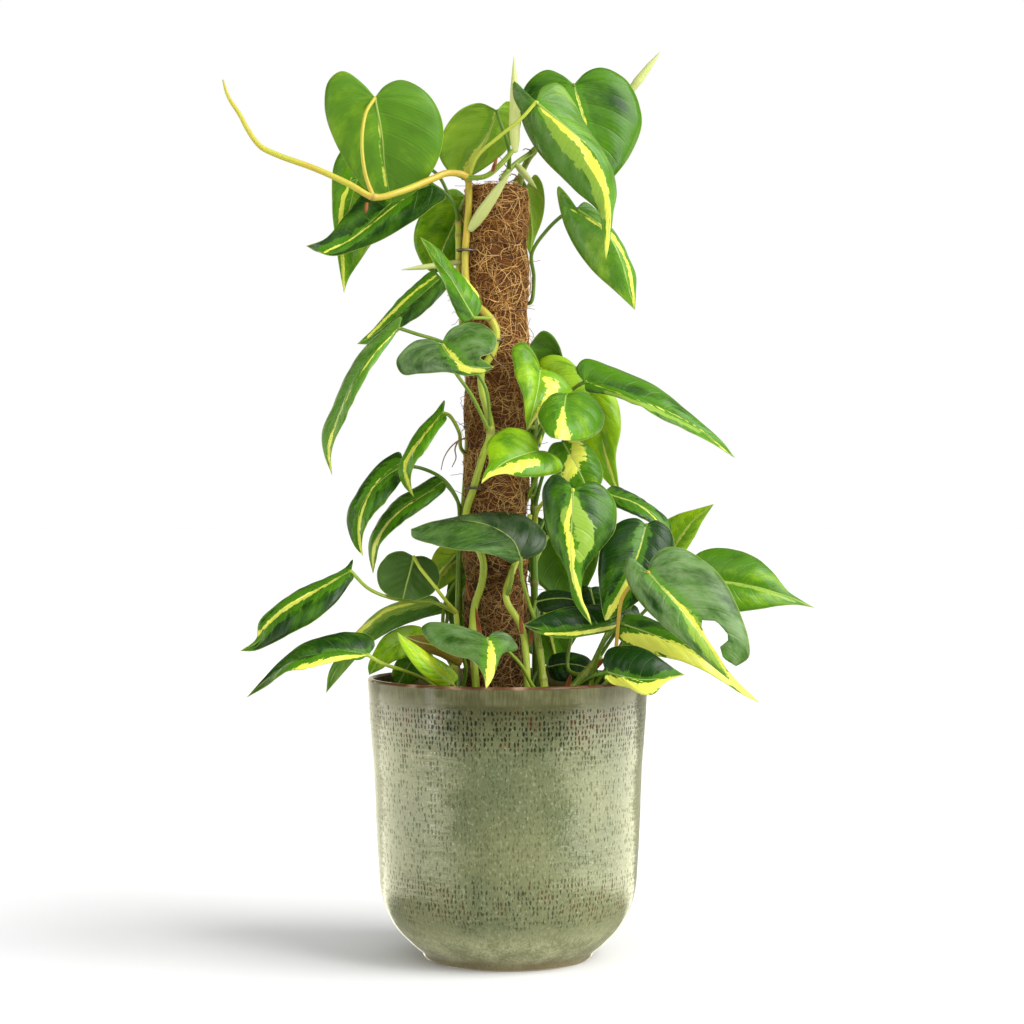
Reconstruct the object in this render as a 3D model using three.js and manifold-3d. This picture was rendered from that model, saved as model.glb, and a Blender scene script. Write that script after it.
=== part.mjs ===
// A potted brasil philodendron: a glazed pot of soil, a coir pole and heart-leaved vines.
// Millimetres, +Z up. The origin is on the ground, under the centre of the pot.
import * as THREE from 'three';
import { mergeVertices } from 'three/addons/utils/BufferGeometryUtils.js';
import Module from 'manifold-3d';

// Pot
const POT_HEIGHT = 169;
const LIP_RADIUS = 85;
const LIP_THICKNESS = 3.6;
const WALL_THICKNESS = 5;
const FLOOR_THICKNESS = 7;
const POT_SIDES = 32;
const LIP_ROUNDING = 0.8;
const INNER_FLOOR_RADIUS = 54;
// Outer radius at each height, from the foot up to the lip
const POT_OUTSIDE = [
  [49.5, 0], [51.5, 2], [52, 4], [59.5, 9.7], [67.5, 18], [73.2, 27.6], [76.8, 38.5],
  [79.5, 71], [81.3, 114], [83.3, 140], [LIP_RADIUS, POT_HEIGHT],
];

// Soil
const SOIL_LEVEL = 152;
const SOIL_RELIEF = 1.6;
const SOIL_SIDES = 24;
const SOIL_CLEARANCE = 1.2;
const SOIL_FOOT_RADIUS = 50;
const SOIL_RINGS = [20, 38, 54, 68];
// Heights below its top at which the soil follows the pot's wall
const SOIL_HEIGHTS = [140, 114, 71, 38.5, 27.6, 18];

// Pole
const POLE_X = -7;
const POLE_Y = 5;
const POLE_RADIUS = 18.4;
const POLE_BULGE = 1.1;
const POLE_TOP = 466;
const POLE_FOOT = 132;
const TOP_BINDING = 432;
const BINDING_PITCH = 41;
const POLE_SIDES = 14;
const POLE_RINGS = 20;
const CORE_RADIUS = 8.5;
const CORE_TOP = 461;
const CORE_FOOT = 12;

// Stems and stalks, which lie on the pole's bulges
const STEM_CLEARANCE = 3.6;
const STEM_STEP = 15;
const STEM_SIDES = 6;
const STALK_RADIUS = 1.25;
const STALK_SIDES = 5;
const STALK_STEP = 20;
const STALK_STOP = 1;
const VINE_SAMPLES = 160;
const ROOT_REACH = 7;
const GAP = 0.35;

// Blades: the share of the outline that its lobes take, and the swell of each side between rib and edge
const BLADE_THICKNESS = 0.8;
const BLADE_ROWS = 8;
const BLADE_COLUMNS = 2;
const WIDEST_SHARE = 0.45;
const OUTLINE_SAMPLES = 60;
const FAN_EXTRA = 0.06;
const FAN_LEAST = 0.13;
const FAN_MOST = 0.42;
const FAN_POWER = 1.15;
const SWELL = 3;
const SWELL_MOST = 0.16;
const SWELL_POWER = 0.7;
const SET_POWER = 0.9;

// Bent wires that hold the front vine to the pole
const PIN_RADIUS = 0.8;
const PIN_CLEARANCE = 8.2;
const PIN_SPREAD = 4.2;
const PIN_DEPTH = 6;
const PIN_STEP = 3.4;

// How the plant is seen: a level view along +Y, in a square picture
const PICTURE_MIDDLE = 512;
const AXIS_COLUMN = 508;
const PIXEL = 0.6065;
const VIEW_DISTANCE = 1400;
const VIEW_HEIGHT = 269;
const VIEW_X = (PICTURE_MIDDLE - AXIS_COLUMN) * PIXEL;

const wasm = await Module();
wasm.setup();

// The point that is seen at a column and row of the picture, at the depth y
function seen(column, row, depth) {
  const scale = PIXEL * (VIEW_DISTANCE + depth) / VIEW_DISTANCE;
  const x = VIEW_X + (column - PICTURE_MIDDLE) * scale;
  const z = VIEW_HEIGHT - (row - PICTURE_MIDDLE) * scale;
  return new THREE.Vector3(x, depth, z);
}

// A point on the pole's surface, at an angle from its front towards +X, and a row of the picture
function hug(angle, row, clearance = STEM_CLEARANCE) {
  const turn = THREE.MathUtils.degToRad(angle);
  const reach = POLE_RADIUS + POLE_BULGE + clearance;
  const x = POLE_X + reach * Math.sin(turn);
  const y = POLE_Y - reach * Math.cos(turn);
  return new THREE.Vector3(x, y, seen(PICTURE_MIDDLE, row, y).z);
}

function route(points) {
  return points.map((point) => (Array.isArray(point) ? seen(...point) : point));
}

function smooth(points) {
  return new THREE.CatmullRomCurve3(points, false, 'centripetal');
}

// Which way a blade's upper face looks
const TO_VIEW = new THREE.Vector3(0, -1, 0.6);
const TO_SKY = new THREE.Vector3(0, -0.4, 1);
const AWAY = new THREE.Vector3(0, 1, 0.4);

// A heart's outline along and across its midrib, as shares of length and half width
const HEART = [[-0.1, 0.22], [-0.19, 0.56], [-0.08, 0.88], [0.2, 1], [0.48, 0.8], [0.76, 0.33]];

// The two sides of a plain heart round a midrib, half widths in pixels
function plainHeart(rib, halfWidths) {
  const base = rib[0];
  const tip = rib[rib.length - 1];
  const along = [tip[0] - base[0], tip[1] - base[1]];
  const length = Math.hypot(...along);
  return halfWidths.map((half, side) => {
    const reach = (side === 0 ? half : -half) / length;
    const across = [-along[1] * reach, along[0] * reach];
    return HEART.map(([a, b]) => [0, 1].map((axis) => base[axis] + along[axis] * a + across[axis] * b));
  });
}

// Each blade: the vine that carries it, its midrib from stalk to tip (column, row, depth), the two sides
// of its outline (column, row) and how far each side stands behind (+) or before (-) the midrib, and its
// stalk's way from the vine.
const BLADES = {
  crown_left: {
    vine: 'front', face: AWAY, swell: -2.5,
    rib: [[375, 98, -42], [382, 135, -38], [385, 168, -30], [392, 203, -18]],
    sides: [
      [[361, 82], [342, 71], [328, 82], [325, 110], [337, 146], [366, 189]],
      [[386, 85], [403, 80], [429, 95], [443, 125], [438, 160], [413, 194]],
    ],
    set: [4, 4],
    stalk: [[374, 196, -50], [365, 172, -53], [362, 140, -53], [366, 113, -49]],
  },
  crown_left_back: {
    vine: 'left',
    rib: [[364, 158, 16], [350, 205, 12], [342, 245, 8], [344, 293, 10]],
    sides: [
      [[350, 143], [335, 162], [332, 205], [336, 245], [340, 272]],
      [[378, 152], [391, 180], [384, 222], [362, 258], [349, 278]],
    ],
    set: [-4, 8],
    stalk: [[461, 212, 4], [455, 206, 6], [448, 193, 10], [437, 174, 14], [405, 158, 26], [382, 154, 26]],
  },
  crown_left_low: {
    vine: 'left',
    rib: [
      [432, 184, -6], [397, 199, -6], [372, 221, -6],
      [344, 244, -8], [320, 252, -10], [306, 246, -14],
    ],
    sides: [
      [[424, 170], [398, 165], [370, 185], [346, 214], [326, 238]],
      [[446, 197], [433, 207], [413, 222], [387, 237], [357, 250], [331, 256]],
    ],
    set: [8, -6],
    stalk: [[461, 222, -2], [455, 206, -4], [446, 194, -6]],
  },
  crown_mid: {
    vine: 'right', face: AWAY,
    rib: [[497, 111, 0], [487, 138, 6], [475, 161, 14], [465, 180, 20]],
    sides: [
      [[480, 103], [460, 110], [444, 130], [439, 154], [450, 173]],
      [[508, 101], [520, 112], [519, 132], [505, 152], [485, 168]],
    ],
    set: [4, 4],
    stalk: [[511, 170, 4], [509, 149, -3], [501, 124, -4]],
  },
  crown_right_back: {
    vine: 'right',
    rib: [[574, 85, 10], [583, 118, 6], [588, 155, 4], [590, 196, 6]],
    sides: [
      [[560, 74], [546, 70], [527, 84], [520, 112], [535, 148], [565, 180]],
      [[588, 71], [604, 68], [628, 82], [642, 120], [632, 152], [611, 180]],
    ],
    set: [6, 6],
    stalk: [[538, 144, 12], [548, 128, 18], [562, 104, 18]],
  },
  crown_right_front: {
    vine: 'front',
    rib: [[536, 102, -40], [568, 128, -42], [596, 156, -42], [609, 201, -38], [606, 261, -32]],
    sides: [
      [[524, 90], [514, 81], [513, 96], [524, 118], [543, 156], [575, 190], [598, 212], [603, 238]],
      [[542, 88], [557, 83], [570, 97], [588, 129], [607, 158], [617, 188], [613, 214], [610, 240]],
    ],
    set: [12, 14],
    stalk: [[470, 180, -20], [477, 157, -28], [500, 136, -36], [522, 118, -40]],
  },
  right_hanging: {
    vine: 'right',
    rib: [
      [577, 209, -20], [596, 222, -25], [612, 240, -28],
      [623, 266, -28], [629, 289, -26], [635, 310, -22],
    ],
    sides: [
      [[566, 193], [558, 186], [559, 205], [568, 234], [590, 268], [616, 292]],
      [[584, 202], [600, 213], [616, 236], [628, 262], [636, 276], [636, 293]],
    ],
    set: [8, 16],
    stalk: [hug(114, 302), hug(104, 278, 4), [532, 253, 0], [548, 229, -3], [566, 213, -10]],
  },
  pole_left_heart: {
    vine: 'left',
    rib: [[466, 197, 26], [453, 226, 28], [441, 252, 27], [433, 274, 24]],
    sides: [
      [[455, 189], [433, 198], [417, 222], [414, 243], [423, 265]],
      [[478, 200], [485, 222], [478, 246], [455, 265]],
    ],
    set: [-4, 10],
    stalk: [[460, 236, 8], [458, 215, 18], [462, 203, 23]],
  },
  left_folded: {
    vine: 'front', swell: 1,
    rib: [[474, 318, -30], [462, 298, -34], [450, 278, -36], [436, 260, -34], [420, 237, -30]],
    sides: [
      [[463, 322], [452, 304], [443, 281], [431, 258]],
      [[480, 312], [480, 297], [469, 282], [454, 267], [438, 248]],
    ],
    set: [-12, 10],
    stalk: [[491, 316, -24], [484, 318, -28]],
  },
  left_upper_droop: {
    vine: 'left',
    rib: [[441, 278, 2], [418, 299, 0], [391, 322, -2], [371, 337, -1], [357, 344, 0]],
    sides: [
      [[433, 271], [414, 285], [389, 311], [373, 329]],
      [[448, 285], [435, 302], [412, 321], [386, 336], [369, 344]],
    ],
    set: [16, -16],
    stalk: [[461, 296, 6], [452, 287, 4]],
  },
  left_lower_droop: {
    vine: 'front',
    rib: [
      [399, 328, -34], [379, 347, -38], [361, 371, -40], [348, 395, -38],
      [338, 418, -36], [328, 440, -34], [332, 475, -32],
    ],
    sides: [
      [[402, 316], [383, 330], [362, 351], [347, 376], [334, 405], [322, 432], [324, 454]],
      [[393, 338], [380, 356], [366, 377], [355, 398], [346, 418], [335, 440], [331, 456]],
    ],
    set: [16, -18],
    stalk: [
      [494, 431, -22], [486, 389, -26], [477, 373, -26],
      [462, 352, -26], [440, 341, -30], [417, 334, -33],
    ],
  },
  left_butterfly: {
    vine: 'front', face: TO_SKY,
    rib: [[442, 345, -44], [450, 357, -56], [464, 365, -66], [480, 368, -73], [494, 367, -78]],
    sides: [
      [[428, 339], [412, 343], [397, 362], [402, 374], [425, 373], [446, 372], [466, 376], [484, 373]],
      [[450, 330], [466, 323], [487, 326], [497, 340], [493, 352], [480, 357], [486, 362]],
    ],
    set: [0, 6],
    stalk: [[487, 434, -24], [472, 396, -32], [456, 373, -38], [446, 357, -41]],
  },
  left_narrow: {
    vine: 'left',
    rib: [
      [443, 413, -14], [428, 431, -20], [412, 455, -24],
      [405, 473, -24], [407, 485, -22], [414, 497, -20],
    ],
    sides: [
      [[445, 400], [434, 413], [418, 429], [405, 452], [398, 470], [403, 485]],
      [[447, 418], [438, 432], [425, 450], [414, 466], [411, 479], [412, 490]],
    ],
    set: [8, -16],
    stalk: [hug(-112, 455, 2.4), hug(-88, 447, 2.4), [459, 432, -6], [450, 416, -9]],
  },
  left_green: {
    vine: 'left',
    rib: [
      [403, 466, -10], [389, 475, -15], [373, 489, -18],
      [361, 508, -20], [358, 531, -20], [363, 556, -18],
    ],
    sides: [
      [[400, 452], [389, 456], [373, 470], [358, 491], [347, 512], [348, 530], [355, 547]],
      [[407, 472], [399, 484], [386, 501], [371, 518], [364, 532], [362, 545]],
    ],
    set: [10, -14],
    stalk: [hug(-100, 536, 2.6), hug(-82, 522, 3), [457, 499, -9], [443, 479, -7], [421, 468, -4]],
  },
  left_dark: {
    vine: 'left',
    rib: [[443, 482, 0], [424, 495, -3], [402, 507, -5], [385, 525, -6], [373, 546, -5], [373, 574, -3]],
    sides: [
      [[437, 476], [414, 489], [396, 501], [381, 519], [369, 541], [369, 557]],
      [[446, 488], [430, 503], [409, 518], [392, 532], [380, 545], [376, 561]],
    ],
    set: [16, -14],
    stalk: [hug(-104, 518, 2.8), [459, 504, 4], [451, 490, 2]],
  },
  low_wide: {
    vine: 'low_right', face: TO_SKY, swell: 2,
    rib: [
      [521, 559, -42], [513, 541, -40], [492, 527, -40],
      [465, 521, -40], [436, 521, -39], [411, 529, -38],
    ],
    sides: [
      [[512, 563], [497, 557], [478, 552], [450, 548], [425, 543], [412, 537]],
      [[533, 557], [545, 548], [546, 534], [529, 518], [504, 512], [478, 513], [448, 519]],
    ],
    set: [-22, 18],
    stalk: [[540, 648, -27], [538, 630, -27], [529, 603, -31], [522, 577, -38]],
  },
  low_round: {
    vine: 'low_left', face: AWAY,
    rib: [[414, 557, -24], [410, 572, -28], [406, 586, -30], [403, 599, -30]],
    sides: [
      [[402, 551], [386, 556], [377, 572], [380, 588], [391, 597]],
      [[423, 556], [436, 564], [440, 578], [434, 592], [418, 600]],
    ],
    set: [6, 4],
    stalk: [[456, 612, -14], [443, 597, -28], [433, 584, -34], [421, 569, -34]],
  },
  low_pale: {
    vine: 'low_left', face: AWAY, fused: true,
    rib: [[462, 548, 22], [449, 563, 20], [437, 578, 18], [428, 590, 16]],
    sides: [
      [[455, 541], [438, 548], [430, 564], [428, 580]],
      [[470, 556], [464, 572], [450, 583], [438, 590]],
    ],
    set: [2, 2],
    stalk: [[456, 640, -12], [445, 634, -4], [446, 600, 12], [467, 562, 16]],
  },
  far_left: {
    vine: 'low_left',
    rib: [
      [351, 571, -24], [330, 583, -28], [305, 597, -30], [282, 611, -30],
      [266, 628, -28], [258, 642, -26], [240, 651, -24],
    ],
    sides: [
      [[353, 559], [345, 568], [320, 582], [299, 591], [276, 606], [259, 622], [256, 639]],
      [[354, 577], [349, 585], [337, 602], [317, 619], [290, 634], [270, 645], [254, 651]],
    ],
    set: [16, -16],
    stalk: [[455, 607, -12], [432, 602, -18], [410, 601, -22], [388, 597, -26], [368, 588, -27]],
  },
  low_left_front: {
    vine: 'low_left',
    rib: [
      [368, 655, -42], [345, 652, -46], [320, 655, -48], [297, 661, -48],
      [278, 671, -46], [262, 684, -44], [246, 698, -42],
    ],
    sides: [
      [[375, 645], [370, 636], [349, 632], [322, 636], [299, 646], [279, 662], [263, 679]],
      [[360, 660], [345, 660], [325, 664], [305, 669], [287, 672], [267, 686]],
    ],
    set: [12, -20],
    stalk: [[436, 692, -24], [422, 678, -30], [402, 670, -36], [384, 664, -40]],
  },
  low_left_back: {
    vine: 'low_left',
    rib: [
      [441, 604, 14], [414, 608, 12], [390, 617, 10], [367, 633, 10],
      [347, 656, 10], [334, 674, 10], [326, 693, 10],
    ],
    sides: [
      [[434, 596], [410, 600], [385, 608], [361, 627], [341, 651], [329, 672]],
      [[446, 611], [424, 618], [400, 627], [376, 640], [354, 661], [339, 678]],
    ],
    set: [12, -12],
    stalk: [[457, 640, -12], [446, 632, 0], [447, 613, 16]],
  },
  rim_left: {
    vine: 'low_left',
    rib: [[424, 640, -10], [404, 642, -12], [388, 651, -12], [378, 662, -12], [369, 675, -12]],
    sides: [
      [[422, 628], [404, 626], [384, 636], [374, 652], [368, 666]],
      [[422, 650], [408, 657], [394, 661], [382, 669]],
    ],
    set: [8, -8],
    stalk: [[452, 668, -10], [440, 648, -8]],
  },
  lime_spear: {
    vine: 'low_left',
    rib: [[452, 684, -50], [434, 669, -54], [416, 652, -55], [397, 632, -52]],
    sides: [
      [[458, 678], [450, 667], [430, 654], [409, 640]],
      [[445, 688], [430, 681], [414, 665], [401, 645]],
    ],
    set: [6, -4],
    stalk: [[458, 706, -34], [458, 694, -44]],
  },
  low_olive: {
    vine: 'low_left', fused: true,
    rib: [[463, 656, -36], [441, 647, -39], [419, 642, -39], [404, 636, -37]],
    sides: [[[464, 647], [444, 637], [419, 635]], [[460, 666], [440, 657], [417, 648]]],
    set: [6, -2],
    stalk: [[458, 694, -22], [466, 672, -30]],
  },
  pot_left_inner: {
    vine: 'low_left', fused: true,
    rib: [[418, 653, 16], [408, 667, 12], [398, 684, 10]],
    sides: [[[408, 649], [395, 663], [392, 677]], [[428, 654], [426, 672], [410, 684]]],
    set: [2, -2],
    stalk: [[440, 700, 0], [436, 670, 8], [428, 652, 13]],
  },
  low_front: {
    vine: 'low_right', face: TO_SKY,
    rib: [[487, 639, -60], [491, 652, -74], [491, 669, -86], [486, 689, -92]],
    sides: [
      [[478, 632], [456, 627], [434, 622], [421, 628], [431, 644], [454, 656], [473, 661], [483, 675]],
      [[494, 632], [509, 635], [518, 648], [503, 654], [497, 667], [492, 680]],
    ],
    set: [14, 6],
    stalk: [[536, 690, -36], [520, 664, -44], [500, 645, -54]],
  },
  bright_top: {
    vine: 'right',
    rib: [[540, 369, -18], [538, 388, -28], [533, 410, -34], [527, 432, -36]],
    sides: [
      [[534, 354], [524, 343], [513, 347], [515, 372], [523, 397], [525, 416]],
      [[552, 373], [566, 382], [573, 392], [567, 402], [550, 410], [536, 419]],
    ],
    set: [-4, 8],
    stalk: [[528, 425, -2], [535, 398, -6], [538, 378, -11]],
  },
  bright_round: {
    vine: 'right',
    rib: [[566, 395, -32], [564, 410, -48], [561, 425, -60], [558, 439, -67]],
    sides: [
      [[556, 393], [545, 401], [538, 414], [542, 428], [550, 437]],
      [[579, 391], [594, 398], [604, 415], [601, 430], [588, 439], [572, 441]],
    ],
    set: [-5, 6],
    stalk: [[529, 446, 0], [546, 422, -8], [561, 402, -24]],
  },
  bright_left: {
    vine: 'right', face: TO_SKY,
    rib: [[537, 451, -52], [520, 456, -60], [504, 463, -66], [492, 473, -70], [481, 484, -74]],
    sides: [
      [[537, 440], [526, 431], [508, 428], [494, 434], [486, 447], [489, 461], [484, 474]],
      [[548, 452], [560, 460], [562, 470], [545, 476], [522, 477], [505, 474], [491, 477]],
    ],
    set: [10, -8],
    stalk: [[529, 496, -4], [538, 474, -22], [542, 458, -42]],
  },
  bright_patch: {
    vine: 'right',
    rib: [[563, 442, -28], [572, 458, -33], [581, 474, -35], [590, 495, -34]],
    sides: [
      [[552, 444], [547, 459], [556, 475], [574, 489]],
      [[574, 437], [590, 447], [601, 465], [602, 482]],
    ],
    set: [4, 4],
    stalk: [[529, 508, 0], [545, 470, -8], [558, 450, -20]],
  },
  right_back_hanging: {
    vine: 'right',
    rib: [[577, 368, 16], [592, 400, 12], [601, 434, 8], [607, 464, 6], [620, 495, 4]],
    sides: [
      [[566, 358], [550, 355], [538, 363], [545, 385], [562, 420], [584, 453], [605, 480]],
      [[590, 369], [604, 381], [617, 400], [621, 428], [616, 456], [618, 478]],
    ],
    set: [4, -4],
    stalk: [[527, 458, 12], [545, 420, 22], [566, 380, 22]],
  },
  right_long: {
    vine: 'right',
    rib: [
      [585, 382, -18], [610, 388, -24], [640, 400, -27],
      [672, 415, -28], [706, 434, -27], [735, 458, -25],
    ],
    sides: [
      [[576, 370], [584, 359], [611, 366], [637, 377], [661, 390], [696, 418], [723, 442]],
      [[586, 391], [606, 395], [637, 406], [662, 418], [690, 432], [716, 446]],
    ],
    set: [10, -22],
    stalk: [[528, 436, 4], [552, 408, 6], [576, 387, -4]],
  },
  centre_heart: {
    vine: 'right',
    rib: [[573, 490, -78], [572, 520, -84], [571, 552, -86], [576, 590, -84], [592, 625, -80]],
    sides: [
      [[564, 478], [554, 474], [544, 485], [543, 507], [547, 531],
        [557, 554], [567, 573], [572, 597], [582, 614]],
      [[582, 485], [593, 481], [607, 490], [616, 508], [614, 532],
        [598, 553], [584, 573], [582, 597], [589, 614]],
    ],
    set: [8, 8],
    stalk: [[528, 534, -2], [538, 510, -22], [556, 493, -56]],
  },
  right_pointed: {
    vine: 'right',
    rib: [[604, 493, -8], [629, 501, -12], [649, 511, -14], [662, 524, -14], [668, 544, -13]],
    sides: [
      [[613, 486], [634, 495], [652, 508], [668, 520], [672, 533]],
      [[603, 501], [620, 509], [641, 518], [656, 527], [663, 537]],
    ],
    set: [14, -10],
    stalk: [[529, 546, 4], [550, 512, 8], [590, 493, -4]],
  },
  right_up_tip: {
    vine: 'low_right',
    rib: [[672, 552, 20], [682, 534, 12], [696, 518, 6], [714, 504, 2]],
    sides: [[[661, 545], [660, 526], [676, 515], [696, 509]], [[684, 552], [694, 538], [702, 522]]],
    set: [2, 2],
    stalk: [[590, 668, -6], [622, 606, 10], [658, 562, 18]],
  },
  right_mid_heart: {
    vine: 'low_right',
    rib: [[646, 525, -34], [640, 548, -40], [628, 575, -45], [614, 602, -48], [605, 621, -49]],
    sides: [
      [[636, 518], [618, 523], [603, 541], [598, 566], [600, 594], [602, 610]],
      [[656, 520], [670, 530], [674, 550], [660, 579], [635, 604], [614, 617]],
    ],
    set: [2, 2],
    stalk: [[600, 660, -14], [628, 612, -20], [646, 560, -27], [649, 538, -30]],
  },
  right_bitten: {
    vine: 'low_right',
    rib: [[648, 572, -68], [671, 598, -76], [693, 623, -80], [712, 652, -80], [729, 680, -77]],
    sides: [
      [[640, 565], [630, 557], [624, 567], [628, 584], [641, 604], [660, 623], [683, 642], [707, 662]],
      [[650, 561], [663, 548], [682, 548], [703, 560], [722, 578],
        [738, 608], [748, 636], [749, 657], [735, 668]],
    ],
    set: [0, 4],
    stalk: [[616, 664, -44], [618, 627, -48], [622, 599, -52], [634, 582, -58]],
  },
  far_right: {
    vine: 'low_right',
    rib: [[692, 578, -10], [720, 581, -14], [752, 586, -16], [786, 596, -14], [815, 608, -12]],
    sides: [
      [[688, 566], [697, 554], [714, 548], [735, 550], [755, 557], [772, 571], [788, 591], [803, 601]],
      [[684, 590], [693, 605], [715, 613], [738, 612], [760, 609], [779, 606], [797, 605]],
    ],
    set: [8, -6],
    stalk: [[600, 676, -4], [640, 616, -2], [674, 588, -8]],
  },
  right_low_long: {
    vine: 'low_right',
    rib: [
      [622, 624, -42], [648, 633, -47], [678, 645, -50],
      [706, 661, -51], [732, 681, -50], [760, 703, -48],
    ],
    sides: [
      [[624, 615], [641, 615], [663, 624], [689, 638], [715, 657], [739, 683]],
      [[615, 632], [627, 646], [650, 655], [679, 661], [702, 670], [728, 685], [745, 696]],
    ],
    set: [8, -10],
    stalk: [[590, 690, -28], [600, 650, -34], [612, 632, -38]],
  },
  right_rim: {
    vine: 'low_right', face: TO_SKY,
    rib: [[607, 672, -66], [625, 677, -76], [645, 680, -80], [665, 678, -78], [685, 675, -73]],
    sides: [
      [[603, 662], [608, 650], [628, 645], [648, 650], [664, 661], [675, 669]],
      [[604, 678], [612, 684], [628, 688], [643, 695], [654, 694], [665, 683], [677, 677]],
    ],
    set: [8, -8],
    stalk: [[560, 700, -34], [576, 688, -46], [594, 676, -60]],
  },
  centre_low: {
    vine: 'low_right', face: TO_SKY,
    rib: [[640, 616, -20], [612, 622, -28], [585, 629, -33], [555, 632, -37], [523, 625, -39]],
    sides: [
      [[636, 606], [611, 603], [585, 605], [560, 609], [540, 616]],
      [[638, 625], [618, 631], [590, 635], [562, 638], [540, 634]],
    ],
    set: [8, -10],
    stalk: [[580, 700, -14], [620, 650, -14], [643, 627, -15]],
  },
  inner_dark: {
    vine: 'low_right', fused: true,
    rib: [[590, 588, 6], [594, 602, 4], [598, 616, 4], [603, 630, 6]],
    sides: [[[581, 586], [579, 604], [589, 622]], [[600, 587], [610, 602], [610, 620]]],
    set: [4, 4],
    stalk: [[568, 668, -4], [576, 620, 4], [586, 596, 8]],
  },
  inner_gloss: {
    vine: 'low_right', face: TO_SKY, fused: true,
    rib: [[536, 602, -10], [552, 599, -14], [569, 599, -16], [584, 604, -17]],
    sides: [[[541, 593], [556, 590], [573, 593]], [[540, 611], [556, 612], [573, 608]]],
    set: [6, -6],
    stalk: [[543, 680, -30], [536, 640, -20], [534, 614, -12]],
  },
  inner_low: {
    vine: 'low_right', face: TO_SKY,
    rib: [[548, 667, 8], [566, 664, 6], [585, 667, 4], [603, 677, 6]],
    sides: [[[551, 656], [567, 652], [587, 657]], [[552, 679], [568, 682], [588, 679]]],
    set: [6, -6],
    stalk: [[545, 700, -14], [532, 686, 2], [538, 671, 7]],
  },
};

// Blades on the far side, plain hearts: midrib, half widths in pixels
const FAR_BLADES = {
  back_crown: {
    vine: 'right', rib: [[526, 188, 36], [530, 210, 40], [532, 232, 42], [530, 256, 40]], widths: [15, 18],
    stalk: [[520, 176, 30], [522, 180, 34]],
  },
  back_upper: {
    vine: 'left', rib: [[488, 288, 38], [486, 318, 50], [486, 350, 56], [488, 382, 54]], widths: [24, 24],
    stalk: [[462, 322, 20], [466, 300, 30], [480, 290, 34]],
  },
  back_mid: {
    vine: 'right', rib: [[526, 352, 44], [530, 384, 58], [536, 416, 62], [540, 448, 60]], widths: [36, 36],
    stalk: [[527, 360, 30], [528, 352, 38]],
  },
  back_low: {
    vine: 'left', rib: [[494, 424, 42], [492, 456, 54], [494, 490, 58], [497, 522, 56]], widths: [27, 27],
    stalk: [[468, 462, 24], [474, 436, 34], [488, 426, 37]],
  },
  back_right: {
    vine: 'right', rib: [[556, 528, 34], [568, 560, 44], [574, 592, 50], [576, 620, 50]], widths: [40, 40],
    stalk: [[530, 580, 12], [540, 552, 24], [551, 532, 31]],
  },
  back_left_low: {
    vine: 'left', rib: [[474, 580, 44], [470, 610, 54], [468, 640, 58], [466, 672, 58]], widths: [26, 26],
    stalk: [[457, 640, 2], [458, 606, 26], [468, 584, 38]],
  },
  back_centre_low: {
    vine: 'right', rib: [[540, 602, 52], [548, 630, 60], [554, 654, 64], [558, 676, 64]], widths: [38, 40],
    stalk: [[533, 700, 14], [534, 650, 34], [539, 612, 45]],
  },
};
for (const [name, leaf] of Object.entries(FAR_BLADES)) {
  BLADES[name] = { ...leaf, face: AWAY, sides: plainHeart(leaf.rib, leaf.widths), set: [0, 0] };
}

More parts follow.
